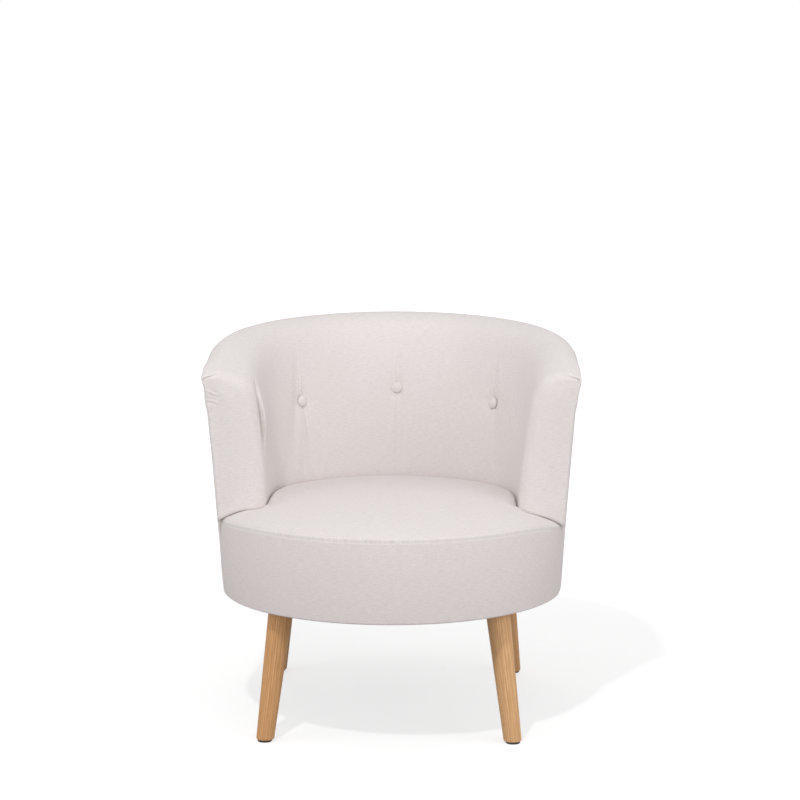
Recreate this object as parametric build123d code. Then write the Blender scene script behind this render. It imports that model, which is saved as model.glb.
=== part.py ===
from build123d import *
import os
from collections import namedtuple
from math import atan2, cos, degrees, hypot, radians, sin, sqrt

# A barrel chair. It faces -Y, and left and right are as seen from the front.
# All sizes are in millimetres and all angles in degrees.

# The seat base, round in plan.
base_radius = 301.0
leg_height = 221.0
seam_height = 367.0
seam_radius = 304.0
crown_rise = 36.0
crown_side_fall = 52.0
border_bulge = 4.0

# The barrel back. Its rim is highest behind and falls to the arm fronts.
rim_radius = 328.0
back_height = 696.0
arm_height = 608.0
rim_even_fall = 0.5
arm_reach = 88.0
rim_width = 80.0
rim_crest = 30.0
rim_outer_round = 22.0
rim_overhang = 4.0
rim_depth = 36.0
seat_half_width = 221.0
seat_back_reach = 186.0
seat_squareness = 2.5
seat_line = 376.0

# Buttons, and the pleats that run up and down from each.
button_angle = 48.0
button_drop = 142.0
side_button_drop = 9.0
button_diameter = 21.0
button_rise = 7.0
button_cap_share = 0.7
tuft_depth = 11.0
pleat_depth = 4.0
pleat_flat = 4.0
pleat_reach = 10.0
channel_crown = 5.0

# Layers of the barrel and the seat, and the clearances left between neighbours.
cloth = 1.6
gap = 0.4
soft_gap = 1.0
board = 3.0
frame_depth = 38.0
foam_bottom_rise = 14.0
least_arm_foam = 10.0
cover_lap = 12.0
hem = 32.0
border_padding = 10.0
wadding = 8.0
felt = 3.0
front_padding = 22.0
front_ease_share = 0.55
front_ease = 2.0
front_round = 13.0

# Plywood rings, posts and rail.
ring_thickness = 18.0
deck_height = 316.0
ring_width = 90.0
post_width = 45.0
post_notch = 22.0
rail_height = 20.0
side_post_angle = 74.0
back_post_angle = 24.0
spacer_angles = [150.0, 180.0, 210.0]
spacer_size = 40.0
spacer_setback = 3.0
arm_post_setback = 2.0

# Legs and their hardware.
front_leg_inset = 43.0
front_leg_angle = 45.0
front_leg_splay = 26.0
front_leg_rake = 28.0
rear_leg_inset = 35.0
rear_leg_angle = 50.0
rear_leg_splay = 24.0
rear_leg_rake = 60.0
leg_top_diameter = 41.0
leg_foot_diameter = 30.0
leg_foot_round = 3.0
pad_diameter = 24.0
pad_thickness = 3.0
nail_shank = 2.6
nail_head = 8.0
nail_head_thickness = 1.2
nail_length = 18.0
bolt_diameter = 8.0
bolt_in_leg = 45.0
bolt_clearance = 1.0
insert_diameter = 12.0
insert_depth = 5.0
insert_length = 24.0
block_size = 52.0
thread_play = 0.1

# Seat springs.
spring_wire = 3.6
spring_pitch = 22.0
spring_bar = 26.0
spring_spacing = 62.0
spring_count = 5
spring_overhang = 12.0
clip_width = 16.0
clip_depth = 14.0
clip_height = 7.0

# Screws, staples and button fixings.
screw_diameter = 5.0
screw_head = 9.0
screw_head_depth = 3.0
screw_in_ring = 30.0
screw_in_post = 40.0
twine_diameter = 2.0
washer_diameter = 25.0
washer_thickness = 2.0
staple_length = 10.0
staple_wire = 1.2
staple_height = 0.6
staple_count = 24
staple_leg_clearance = 45.0
staple_setback = 20.0

# Derived positions. The plan centre is set so that the whole chair is centred on the origin.
border_middle_radius = (base_radius + seam_radius) / 2 + border_bulge
plan_y = (border_middle_radius - rim_radius) / 2
arm_face = arm_reach - front_padding
ring_bottom = leg_height + cloth + gap
upper_ring_bottom = deck_height - ring_thickness
border_least_radius = min(base_radius, seam_radius)
front_ring_radius = border_least_radius - cloth - border_padding - board - 3 * gap
ring_opening_radius = front_ring_radius - ring_width
border_inside_radius = border_least_radius - cloth - gap - border_padding
seat_side_inset = seam_radius - border_inside_radius + gap
board_inset = cloth + soft_gap
post_inset = board_inset + board + 2 * soft_gap
post_inner_inset = post_inset + frame_depth
inner_board_inset = post_inner_inset + soft_gap
foam_inset = inner_board_inset + board + soft_gap
arm_outside = sqrt(base_radius ** 2 - arm_face ** 2)
seat_side_reach = min(seat_half_width, arm_outside - foam_inset - least_arm_foam)
bolt_in_block = ring_bottom + ring_thickness - leg_height + insert_depth + insert_length
spring_level = deck_height + clip_height / 2
felt_bottom = deck_height + clip_height + gap
seat_foam_bottom = felt_bottom + felt + gap
crown_top = seam_height + crown_rise
crown_radius = (seam_radius ** 2 + crown_rise ** 2) / (2 * crown_rise)
crown_side_radius = (seam_radius ** 2 + crown_side_fall ** 2) / (2 * crown_side_fall)

Station = namedtuple("Station", "depth angle")
pleat_angles = [-button_angle, 0.0, button_angle]
arm_post_depth = arm_face - post_width / 2 - arm_post_setback


def place(station, reach, height):
    """The point at a reach from the station's centre and a height."""
    x = reach * sin(radians(station.angle))
    y = plan_y - station.depth + reach * cos(radians(station.angle))
    return Vector(x, y, height)


def pleat_share(station, flat):
    """1 on a pleat and within flat degrees of it, falling to 0 at the pleat's reach."""
    if station.depth > 0:
        return 0.0
    away = min(abs(station.angle - angle) for angle in pleat_angles)
    return max(0.0, min(1.0, (pleat_reach - away) / (pleat_reach - flat)))


def rim_top(station):
    """Height of the rim, an even fall from the back plus a steeper one near the arm fronts."""
    ahead = station.depth - rim_radius * cos(radians(station.angle))
    share = (rim_radius + ahead) / (rim_radius + arm_reach)
    fall = rim_even_fall * share + (1 - rim_even_fall) * share ** 4
    return back_height - (back_height - arm_height) * fall


def seat_reach(station):
    """Reach of the inside of the barrel at seat level: a squarish oval behind, straight arms ahead."""
    across = abs(sin(radians(station.angle))) / seat_side_reach
    along = max(0.0, cos(radians(station.angle))) / seat_back_reach
    return (across ** seat_squareness + along ** seat_squareness) ** (-1 / seat_squareness)


def outer_reach(station, height):
    """Reach of the outside of the barrel, a straight flare from the base to under the rim's overhang."""
    low = sqrt(base_radius ** 2 - station.depth ** 2)
    flare = rim_radius - rim_overhang - low
    top = rim_top(station) - rim_outer_round
    return low + flare * (height - leg_height) / (top - leg_height)


def button_height(station):
    """The side buttons sit a little lower under the rim than the middle one."""
    aside = min(1.0, abs(station.angle) / button_angle)
    return rim_top(station) - button_drop - side_button_drop * aside


def wall_points(station, inset):
    """Inside wall from below the seat up to the rim, as deck, seat, button and shoulder points."""
    shoulder = (rim_radius - rim_width + inset, rim_top(station) - rim_depth)
    plain = seat_reach(station)
    level = button_height(station)
    rise = (level - seat_line) / (shoulder[1] - seat_line)
    tuft = tuft_depth * pleat_share(station, pleat_flat)
    facing = max(0.0, cos(radians(station.angle))) if station.depth == 0 else 0.0
    crown = channel_crown * facing * (1 - pleat_share(station, pleat_flat))
    at_button = plain + (rim_radius - rim_width - plain) * rise + tuft - crown + inset
    at_seat = plain + pleat_depth * pleat_share(station, 0.0) + inset
    deck = (plain + inset, deck_height + foam_bottom_rise)
    return [deck, (at_seat, seat_line), (at_button, level), shoulder]


def rim_arcs(station, inset):
    """The two arcs over the rim, from the inside shoulder to the crest and on to the outside."""
    rim = rim_top(station)
    crest = (rim_radius - rim_crest, rim - inset)
    inside = (rim_radius - rim_width + inset, rim - rim_depth)
    outside = (rim_radius - inset, rim - rim_outer_round)
    bend = cos(radians(45))
    inside_middle = (crest[0] - (crest[0] - inside[0]) * bend, inside[1] + (crest[1] - inside[1]) * bend)
    outside_middle = (crest[0] + (outside[0] - crest[0]) * bend, outside[1] + (crest[1] - outside[1]) * bend)
    return [[inside, inside_middle, crest], [crest, outside_middle, outside]]


def lines(points):
    """Straight runs from each point to the next."""
    return [[a, b] for a, b in zip(points, points[1:])]


def backwards(runs):
    return [run[::-1] for run in reversed(runs)]


def section(station, runs):
    """Closed wire at a station. A run of two points is a line and one of three is an arc."""
    edges = []
    for run in runs:
        points = [place(station, *point) for point in run]
        if len(points) == 2:
            edges.append(Edge.make_line(*points))
        else:
            edges.append(Edge.make_three_point_arc(*points))
    return Wire(edges)


def closed(points):
    """Straight runs round through all the points and back to the first."""
    return lines(points + points[:1])


def with_arms(angles):
    """Stations at angles round the back, with evenly spaced ones along each arm."""
    depths = [arm_face, arm_face * 2 / 3, arm_face / 3]
    left = [Station(depth, -90.0) for depth in depths]
    right = [Station(depth, 90.0) for depth in reversed(depths)]
    return left + [Station(0.0, angle) for angle in angles] + right


def plain_stations():
    """Stations from the left arm front, round the back, to the right arm front."""
    angles = [15.0 * step for step in range(-6, 7)]
    return with_arms(angles)


def pleated_stations():
    """The same way round, with stations on, beside and between the pleats."""
    angles = [-90.0]
    for angle in pleat_angles:
        start = angles[-1]
        end = angle - pleat_reach
        angles += [start + (end - start) / 3, start + (end - start) * 2 / 3]
        angles += [angle + step for step in (-pleat_reach, -pleat_flat, 0.0, pleat_flat, pleat_reach)]
    start = angles[-1]
    angles += [start + (90.0 - start) / 3, start + (90.0 - start) * 2 / 3, 90.0]
    return with_arms(angles)


def barrel(stations, runs_at):
    """Solid through the sections that runs_at gives at each station."""
    return Solid.make_loft([section(station, runs_at(station)) for station in stations])


def joined(solids):
    return Compound(children=list(solids))


def ahead_of(depth):
    """Everything in front of a depth ahead of the plan centre."""
    size = 2 * back_height
    return Pos(0, plan_y - depth - size / 2, size / 2) * Box(2 * size, size, 2 * size)


# Barrel pieces

def inner_back_cover():
    def runs(station):
        rim = rim_top(station)
        lap = rim - rim_depth - cover_lap
        face = lines(wall_points(station, 0.0)) + rim_arcs(station, 0.0)
        face.append([face[-1][-1], (outer_reach(station, lap), lap)])
        back = lines(wall_points(station, cloth)) + rim_arcs(station, cloth)
        back.append([back[-1][-1], (outer_reach(station, lap) - cloth, lap)])
        across = [[face[-1][-1], back[-1][-1]]]
        close = [[back[0][0], face[0][0]]]
        return face + across + backwards(back) + close
    cover = barrel(pleated_stations(), runs)
    for station in button_stations():
        cover -= twine_bore(station, 2 * gap)
    return cover


def outer_back_cover():
    def runs(station):
        top = rim_top(station) - rim_depth - cover_lap - gap
        low = outer_reach(station, leg_height)
        return closed([
            (low - hem, leg_height),
            (low, leg_height),
            (outer_reach(station, top), top),
            (outer_reach(station, top) - cloth, top),
            (low - cloth, leg_height + cloth),
            (low - hem, leg_height + cloth),
        ])
    cover = barrel(plain_stations(), runs)
    for corner in leg_corners():
        cover -= bolt_bore(corner, bolt_diameter + bolt_clearance)
    return cover


def outer_board():
    def runs(station):
        low = ring_bottom
        top = rim_top(station) - rim_depth
        return closed([
            (outer_reach(station, low) - board_inset, low),
            (outer_reach(station, top) - board_inset, top),
            (outer_reach(station, top) - board_inset - board, top),
            (outer_reach(station, low) - board_inset - board, low),
        ])
    return barrel(plain_stations(), runs)


def inner_board():
    def runs(station):
        low = deck_height + gap
        top = rim_top(station) - rim_depth - gap
        return closed([
            (outer_reach(station, low) - inner_board_inset, low),
            (outer_reach(station, top) - inner_board_inset, top),
            (outer_reach(station, top) - inner_board_inset - board, top),
            (outer_reach(station, low) - inner_board_inset - board, low),
        ])
    panel = barrel(plain_stations(), runs)
    for station in button_stations():
        panel -= twine_bore(station, 2 * gap)
    return panel


def back_foam():
    def runs(station):
        wall = wall_points(station, cloth + soft_gap)
        top = wall[-1][1] - gap
        wall[-1] = (wall[-1][0], top)
        low = wall[0][1]
        return closed(wall + [
            (outer_reach(station, top) - foam_inset, top),
            (outer_reach(station, low) - foam_inset, low),
        ])
    foam = barrel(pleated_stations(), runs)
    for station in button_stations():
        foam -= twine_bore(station, 2 * gap)
    return foam


def rim_pad():
    inset = cloth + soft_gap

    def runs(station):
        low = rim_top(station) - rim_depth + gap
        arcs = rim_arcs(station, inset)
        inside = (rim_radius - rim_width + inset, low)
        arcs[0][0] = inside
        outside = (outer_reach(station, low) - inset, low)
        return arcs + [[arcs[1][2], outside], [outside, inside]]
    return barrel(plain_stations(), runs)


def rail_runs(station):
    top = rim_top(station) - rim_depth
    low = top - rail_height
    return closed([
        (outer_reach(station, top) - post_inset, top),
        (outer_reach(station, top) - post_inner_inset, top),
        (outer_reach(station, low) - post_inner_inset, low),
        (outer_reach(station, low) - post_inset, low),
    ])


def rail_envelope_runs(station):
    """The rail's section with room above it, to trim what stands under the rail."""
    top = rim_top(station)
    low = top - rim_depth - rail_height - gap / 2
    return closed([
        (rim_radius, top),
        (rim_radius - rim_width, top),
        (rim_radius - 1.5 * rim_width, low),
        (rim_radius, low),
    ])


def top_rail():
    rail = barrel(plain_stations(), rail_runs)
    for station in post_stations().values():
        rail -= rail_screw(station, thread_play)
    return rail


def arm_front_runs(station, inset):
    """Section across an arm front, down to below the seat."""
    low = seam_height - rim_depth
    rim = rim_top(station)
    inside = (rim_radius - rim_width + inset, rim - rim_depth)
    outside = (rim_radius - inset, rim - rim_outer_round)
    lap = rim - rim_depth - cover_lap
    under_rim = (outer_reach(station, lap) - inset, lap)
    foot_out = (outer_reach(station, low) - inset, low)
    foot_in = (seat_side_reach + inset, low)
    return rim_arcs(station, inset) + lines([outside, under_rim, foot_out, foot_in, inside])


def arm_front_form(side, start, skin):
    """Cushioned arm front from its face plane, drawn in toward the front."""
    depths = [arm_face + start, arm_face + front_padding * front_ease_share, arm_reach - skin]
    insets = [skin, skin + front_ease, skin + front_round]
    wires = []
    for depth, inset in zip(depths, insets):
        station = Station(depth, 90.0 * side)
        wires.append(section(station, arm_front_runs(station, inset)))
    return Solid.make_loft(wires) - crown_form(-gap - skin)


def arm_front_pad(side):
    return arm_front_form(side, gap, cloth + gap)


def arm_front_cover(side):
    return arm_front_form(side, gap, 0.0) - arm_front_form(side, -gap, cloth)


# Buttons

def button_stations():
    return [Station(0.0, angle) for angle in pleat_angles]


def button_plane(station, out):
    """Plane on the tuft's floor, out millimetres off it, facing into the chair."""
    points = wall_points(station, 0.0)
    low, tuft, high = points[1:]
    along = place(station, *high) - place(station, *low)
    side = Vector(cos(radians(station.angle)), -sin(radians(station.angle)), 0)
    facing = side.cross(along).normalized()
    inward = place(station, 0.0, tuft[1]) - place(station, *tuft)
    if facing.dot(inward) < 0:
        facing = -facing
    return Plane(place(station, *tuft) + facing * out, x_dir=side, z_dir=facing)


def twine_depth(station):
    """Along the button's axis, from the tuft's floor to the far face of the inner board."""
    reach, level = wall_points(station, 0.0)[2]
    facing = button_plane(station, 0.0).z_dir
    inward = hypot(facing.X, facing.Y)
    flare = outer_reach(station, level + 1) - outer_reach(station, level)
    return (outer_reach(station, level) - inner_board_inset - reach) / (inward + flare * facing.Z)


def twine_bore(station, play):
    plane = button_plane(station, button_rise)
    length = twine_depth(station) + button_rise + 3 * board
    return Solid.make_cylinder(twine_diameter / 2 + play, length, Plane(plane.origin, z_dir=-plane.z_dir))


def back_button(station):
    radius = button_diameter / 2
    cap = button_rise * button_cap_share
    ball_radius = (radius ** 2 + cap ** 2) / (2 * cap)
    disc = Pos(0, 0, button_rise / 2) * Cylinder(radius, button_rise)
    domed = disc & Pos(0, 0, button_rise - ball_radius) * Sphere(ball_radius)
    return button_plane(station, soft_gap) * domed


def button_twine(station):
    """Twine from behind the button to behind its washer."""
    plane = button_plane(station, gap / 2)
    length = twine_depth(station) + 2 * washer_thickness
    return Solid.make_cylinder(twine_diameter / 2, length, Plane(plane.origin, z_dir=-plane.z_dir))


def button_washer(station):
    """Disc flat behind the inner board, round the twine."""
    plane = button_plane(station, 0.0)
    middle = plane.origin - plane.z_dir * twine_depth(station)
    flare = outer_reach(station, middle.Z + 1) - outer_reach(station, middle.Z)
    outward = place(station, 1.0, -flare) - place(station, 0.0, 0.0)
    behind = Plane(middle + outward.normalized() * gap, z_dir=outward)
    disc = Solid.make_cylinder(washer_diameter / 2, washer_thickness, behind)
    return disc - twine_bore(station, gap)


# Seat

def crown_form(inset):
    """Everything under the crowned seat, set down by inset. It falls more to the sides than ahead."""
    along = crown_radius - inset
    top = crown_top - inset
    axis_height = crown_top - crown_side_radius
    reach = 1.2 * rim_radius
    edge = top - along + sqrt(along ** 2 - reach ** 2)
    start = (0, plan_y - reach, edge)
    end = (0, plan_y + reach, edge)
    axis_start = (0, plan_y - reach, axis_height)
    axis_end = (0, plan_y + reach, axis_height)
    outline = Wire([
        Edge.make_three_point_arc(start, (0, plan_y, top), end),
        Edge.make_line(end, axis_end),
        Edge.make_line(axis_end, axis_start),
        Edge.make_line(axis_start, start),
    ])
    return revolve(Face(outline), Axis(axis_start, (0, 1, 0)))


def seat_plan(inset):
    """Outline of the seat: a round front and a narrower part that runs back between the arms."""
    start = arm_face + gap + inset
    size = 2 * seam_radius
    front = Circle(seam_radius - inset) & Pos(0, -start - size / 2) * Rectangle(2 * size, size)
    wide = seat_side_reach - soft_gap - inset
    oval = []
    for step in range(-18, 19):
        station = Station(0.0, 5.0 * step)
        reach = seat_reach(station) - soft_gap - inset
        oval.append((reach * sin(radians(station.angle)), reach * cos(radians(station.angle))))
    curve = Spline(oval, tangents=[(0, 1), (0, -1)])
    behind = make_face([curve, Line(oval[-1], oval[0])])
    between = Pos(0, -(start + 1) / 2) * Rectangle(2 * wide, start + 1)
    return Pos(0, plan_y) * (front + behind + between)


def seat_column(inset, low):
    return Pos(0, 0, low) * extrude(seat_plan(inset), amount=2 * crown_rise + seam_height - low)


def seat_cover():
    return (seat_column(0.0, deck_height) & crown_form(0.0)) - crown_form(cloth)


def seat_wadding():
    top = cloth + gap
    return (seat_column(cloth, deck_height) & crown_form(top)) - crown_form(top + wadding)


def seat_foam():
    return seat_column(seat_side_inset, seat_foam_bottom) & crown_form(cloth + wadding + 2 * gap)


def spring_felt():
    return Pos(0, 0, felt_bottom) * extrude(seat_plan(seat_side_inset), amount=felt)


def border_profile(inset, low, high):
    """Points of the bulging border at an inset: bottom, middle and top."""
    middle = (leg_height + seam_height) / 2
    return (base_radius - inset, low), (border_middle_radius - inset, middle), (seam_radius - inset, high)


def ring_of(runs):
    """Solid of revolution about the plan centre from runs of radius and height."""
    edges = []
    for run in runs:
        points = [(radius, 0, height) for radius, height in run]
        if len(points) == 2:
            edges.append(Edge.make_line(*points))
        else:
            edges.append(Edge.make_three_point_arc(*points))
    return Pos(0, plan_y) * revolve(Face(Wire(edges)), Axis.Z)


def seat_border_cover():
    top = seam_height - cloth - gap
    face = border_profile(0.0, leg_height, top)
    back = border_profile(cloth, leg_height + cloth, top)
    hem_out = (base_radius - hem, leg_height)
    hem_in = (base_radius - hem, leg_height + cloth)
    runs = [list(face), [face[2], back[2]], list(back[::-1])]
    runs += lines([back[0], hem_in, hem_out, face[0]])
    cover = ring_of(runs) & ahead_of(arm_face + gap) & crown_form(cloth + gap)
    for corner in leg_corners():
        cover -= bolt_bore(corner, bolt_diameter + bolt_clearance)
    return cover


def seat_border_foam():
    top = seam_height - 2 * cloth - wadding - 2 * gap
    face = border_profile(cloth + gap, leg_height + cloth + gap, top)
    inside = border_inside_radius
    runs = [list(face)] + lines([face[2], (inside, top), (inside, face[0][1]), face[0]])
    return ring_of(runs) & ahead_of(arm_face + gap) & crown_form(cloth + wadding + 2 * gap)


def seat_border_board():
    tube = Cylinder(front_ring_radius + gap + board, deck_height - ring_bottom)
    tube -= Cylinder(front_ring_radius + gap, deck_height - ring_bottom)
    return Pos(0, plan_y, (deck_height + ring_bottom) / 2) * tube & ahead_of(arm_face + gap)


def dust_cover():
    sheet = Pos(0, plan_y, leg_height + cloth / 2) * Cylinder(base_radius - hem - soft_gap, cloth)
    for corner in leg_corners():
        sheet -= bolt_bore(corner, bolt_diameter + bolt_clearance)
    return sheet


def dust_cover_staples():
    staples = []
    ring = base_radius - hem - staple_setback
    for step in range(staple_count):
        angle = 360.0 * (step + 0.5) / staple_count
        spot = Vector(ring * sin(radians(angle)), plan_y + ring * cos(radians(angle)), 0)
        near = min(hypot(spot.X - top.X, spot.Y - top.Y) for top, foot in leg_corners())
        if near < staple_leg_clearance:
            continue
        bar = Box(staple_length, staple_wire, staple_height)
        staples.append(Pos(spot.X, spot.Y, leg_height - staple_height / 2) * Rot(0, 0, -angle) * bar)
    return joined(staples)


# Frame

def ring_plate(low):
    """A plywood ring: wide to the front, narrower behind where the posts stand, let in for them."""
    back_radius = outer_reach(Station(0.0, 0.0), low) - post_inner_inset + post_notch
    start = arm_face + gap
    size = 2 * rim_radius + 2 * base_radius
    plan = Circle(back_radius) & Pos(0, -start + size / 2) * Rectangle(2 * size, size)
    plan += Circle(front_ring_radius) & Pos(0, -start - size / 2) * Rectangle(2 * size, size)
    plan -= Circle(ring_opening_radius)
    plate = extrude(Pos(0, plan_y, low) * plan, amount=ring_thickness)
    for station in post_stations().values():
        plate -= post_blank(station)
        plate -= post_screw(station, low + ring_thickness / 2, thread_play)
    return plate


def seat_lower_ring():
    plate = ring_plate(ring_bottom)
    for corner in leg_corners():
        plate -= bolt_bore(corner, bolt_diameter + bolt_clearance)
    return plate


def seat_upper_ring():
    plate = ring_plate(upper_ring_bottom)
    for corner in leg_corners():
        plate -= bolt_bore(corner, insert_diameter + thread_play)
    return plate


def front_spacers():
    """Upright blocks between the rings at the front."""
    blocks = []
    height = upper_ring_bottom - ring_bottom - ring_thickness
    middle = front_ring_radius - spacer_size / 2 - spacer_setback
    for angle in spacer_angles:
        spot = place(Station(0.0, angle), middle, ring_bottom + ring_thickness + height / 2)
        blocks.append(Pos(spot.X, spot.Y, spot.Z) * Rot(0, 0, -angle) * Box(spacer_size, spacer_size, height))
    return joined(blocks)


def post_stations():
    arm = arm_post_depth
    return {
        "arm_post_left": Station(arm, -90.0),
        "arm_post_right": Station(arm, 90.0),
        "side_post_left": Station(0.0, -side_post_angle),
        "side_post_right": Station(0.0, side_post_angle),
        "back_post_left": Station(0.0, -back_post_angle),
        "back_post_right": Station(0.0, back_post_angle),
    }


def post_section(station):
    """A post's section, leaning with the outside of the barrel, full height."""
    low = ring_bottom
    top = rim_top(station) - rim_depth
    return section(station, closed([
        (outer_reach(station, low) - post_inset, low),
        (outer_reach(station, top) - post_inset, top),
        (outer_reach(station, top) - post_inner_inset, top),
        (outer_reach(station, low) - post_inner_inset, low),
    ]))


def post_blank(station):
    """An arm post follows the arm's curve and the others are flat sided."""
    half = post_width / 2
    if station.depth > 0:
        depths = [station.depth - half, station.depth, station.depth + half]
        return Solid.make_loft([post_section(Station(depth, station.angle)) for depth in depths])
    along = Vector(cos(radians(station.angle)), -sin(radians(station.angle)), 0)
    moved = Face(post_section(station)).translate(along * -half)
    return extrude(moved, amount=post_width, dir=along)


def post(station):
    blank = post_blank(station) - barrel(plain_stations(), rail_envelope_runs)
    blank = max(blank.solids(), key=lambda solid: solid.volume)
    for level in (ring_bottom, upper_ring_bottom):
        blank -= post_screw(station, level + ring_thickness / 2, thread_play)
    blank -= rail_screw(station, thread_play)
    return blank


def screw(start, way, length, play):
    """Countersunk screw with its head's face at start."""
    plane = Plane(start, z_dir=way)
    shank_radius = screw_diameter / 2 + play
    shank = Solid.make_cylinder(shank_radius, length, plane)
    return shank + Solid.make_cone(screw_head / 2 + play, shank_radius, screw_head_depth, plane)


def post_screw(station, level, play=0.0):
    """Screw from the outside of a post into a ring's edge."""
    outside = outer_reach(station, level) - post_inset - gap
    start = place(station, outside, level)
    way = place(station, 0.0, level) - start
    return screw(start, way, frame_depth + screw_in_ring, play)


def rail_screw(station, play=0.0):
    """Screw down through the rail into the top of a post."""
    top = rim_top(station) - rim_depth
    middle = outer_reach(station, top) - post_inset - frame_depth / 2
    start = place(station, middle, top - rail_height / 4)
    bore_up = Solid.make_cylinder(screw_head / 2 + play, rail_height, Plane(start))
    body = screw(start, Vector(0, 0, -1), rail_height + screw_in_post, play)
    return body + bore_up if play else body


def post_screws():
    levels = (ring_bottom + ring_thickness / 2, upper_ring_bottom + ring_thickness / 2)
    return joined(post_screw(station, level) for station in post_stations().values() for level in levels)


def rail_screws():
    return joined(rail_screw(station) for station in post_stations().values())


# Springs

def spring_half_span(x):
    return sqrt(ring_opening_radius ** 2 - x ** 2) + spring_overhang


def seat_spring(x):
    """One zigzag spring from the front of the ring to the back."""
    span = 2 * spring_half_span(x)
    count = round(span / spring_pitch)
    pitch = span / count
    edges = []
    for bar in range(count + 1):
        y = plan_y - span / 2 + bar * pitch
        side = 1 if bar % 2 == 0 else -1
        start = Vector(x - side * spring_bar / 2, y, spring_level)
        end = Vector(x + side * spring_bar / 2, y, spring_level)
        edges.append(Edge.make_line(start, end))
        if bar < count:
            turn = Vector(end.X + side * pitch / 2, y + pitch / 2, spring_level)
            edges.append(Edge.make_three_point_arc(end, turn, Vector(end.X, y + pitch, spring_level)))
    path = Wire(edges)
    start_plane = Plane(path.position_at(0), z_dir=path.tangent_at(0))
    return sweep(start_plane * Circle(spring_wire / 2), path=path)


def spring_lanes():
    middle = (spring_count - 1) / 2
    return [(lane - middle) * spring_spacing for lane in range(spring_count)]


def seat_springs():
    return joined(seat_spring(x) for x in spring_lanes())


def spring_clips():
    """A folded clip on the ring at each end of each spring, round its last bar."""
    clips = []
    for x in spring_lanes():
        for end in (-1, 1):
            y = plan_y + end * spring_half_span(x)
            fold = Box(clip_width, clip_depth, clip_height - gap)
            wire = Rot(0, 90, 0) * Cylinder(spring_wire / 2 + thread_play, 2 * clip_width)
            clips.append(Pos(x, y, spring_level) * (Pos(0, 0, gap / 2) * fold - wire))
    return joined(clips)


# Legs

def leg_corners():
    """Each leg's axis as the points where it meets the underside and the floor."""
    ends = [
        (-1, front_leg_inset, front_leg_angle, front_leg_splay, front_leg_rake),
        (1, rear_leg_inset, rear_leg_angle, rear_leg_splay, rear_leg_rake),
    ]
    corners = []
    for end, inset, angle, splay, rake in ends:
        for side in (-1, 1):
            x = side * (border_least_radius - inset) * sin(radians(angle))
            y = plan_y + end * (border_least_radius - inset) * cos(radians(angle))
            top = Vector(x, y, leg_height)
            foot = Vector(x + side * splay, y + end * rake, 0)
            corners.append((top, foot))
    return corners


def leg_names():
    return ["front_left", "front_right", "rear_left", "rear_right"]


def axis_plane(corner, along):
    """Plane across a leg's axis, along millimetres above its top, facing up the axis."""
    top, foot = corner
    way = (top - foot).normalized()
    return Plane(top + way * along, z_dir=way)


def bolt_bore(corner, diameter):
    return Solid.make_cylinder(diameter / 2, bolt_in_leg + bolt_in_block, axis_plane(corner, -bolt_in_leg))


def leg(corner):
    """Tapered leg, cut level where it meets the seat base and where its pad sits."""
    top, foot = corner
    length = (top - foot).length
    spare = leg_top_diameter / 2
    slope = (leg_top_diameter - leg_foot_diameter) / 2 / length
    low_radius = leg_foot_diameter / 2 - slope * spare
    high_radius = leg_top_diameter / 2 + slope * spare
    blank = Solid.make_cone(low_radius, high_radius, length + 2 * spare, axis_plane(corner, -length - spare))
    height = leg_height - gap - pad_thickness
    slab = Pos(0, 0, pad_thickness + height / 2) * Box(4 * base_radius, 4 * base_radius, height)
    turned = blank & slab
    turned = fillet(turned.edges().sort_by(Axis.Z)[:1], leg_foot_round)
    turned -= bolt_bore(corner, bolt_diameter + thread_play)
    return turned - pad_nail(corner, thread_play)


def hanger_bolt(corner):
    return bolt_bore(corner, bolt_diameter)


def insert_nut(corner):
    """Threaded sleeve in the corner block, round the bolt's upper end."""
    plane = axis_plane(corner, bolt_in_block - insert_length)
    sleeve = Solid.make_cylinder(insert_diameter / 2, insert_length, plane)
    return sleeve - bolt_bore(corner, bolt_diameter + thread_play)


def corner_block(corner):
    """Block between the rings over a leg, bored along the leg's axis."""
    height = upper_ring_bottom - ring_bottom - ring_thickness
    middle = ring_bottom + ring_thickness + height / 2
    top, foot = corner
    spot = top + (top - foot) * ((middle - leg_height) / leg_height)
    angle = degrees(atan2(spot.Y - plan_y, spot.X))
    block = Pos(spot.X, spot.Y, middle) * Rot(0, 0, angle) * Box(block_size, block_size, height)
    block -= bolt_bore(corner, bolt_diameter + bolt_clearance)
    seat_plane = axis_plane(corner, bolt_in_block - insert_length)
    return block - Solid.make_cylinder((insert_diameter + thread_play) / 2, 2 * height, seat_plane)


def foot_pad(corner):
    foot = corner[1]
    disc = Pos(foot.X, foot.Y, pad_thickness / 2) * Cylinder(pad_diameter / 2, pad_thickness)
    return disc - pad_nail(corner, thread_play)


def pad_nail(corner, play=0.0):
    """Nail up through a pad into its leg, head let into the pad."""
    foot = corner[1]
    head_low = pad_thickness / 2 - nail_head_thickness
    recess = pad_thickness / 2 if play else nail_head_thickness
    head = Pos(foot.X, foot.Y, pad_thickness / 2 - recess / 2) * Cylinder(nail_head / 2 + play, recess)
    shank = Pos(foot.X, foot.Y, head_low + nail_length / 2) * Cylinder(nail_shank / 2 + play, nail_length)
    return head + shank


def write(name, shape):
    export_step(shape, "parts/" + name + ".step")


os.makedirs("parts", exist_ok=True)

corners = leg_corners()
for name, corner in zip(leg_names(), corners):
    write("leg_" + name, leg(corner))
    write("foot_pad_" + name, foot_pad(corner))
write("foot_pad_nails", joined(pad_nail(corner) for corner in corners))
write("hanger_bolts", joined(hanger_bolt(corner) for corner in corners))
write("insert_nuts", joined(insert_nut(corner) for corner in corners))
write("corner_blocks", joined(corner_block(corner) for corner in corners))

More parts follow.
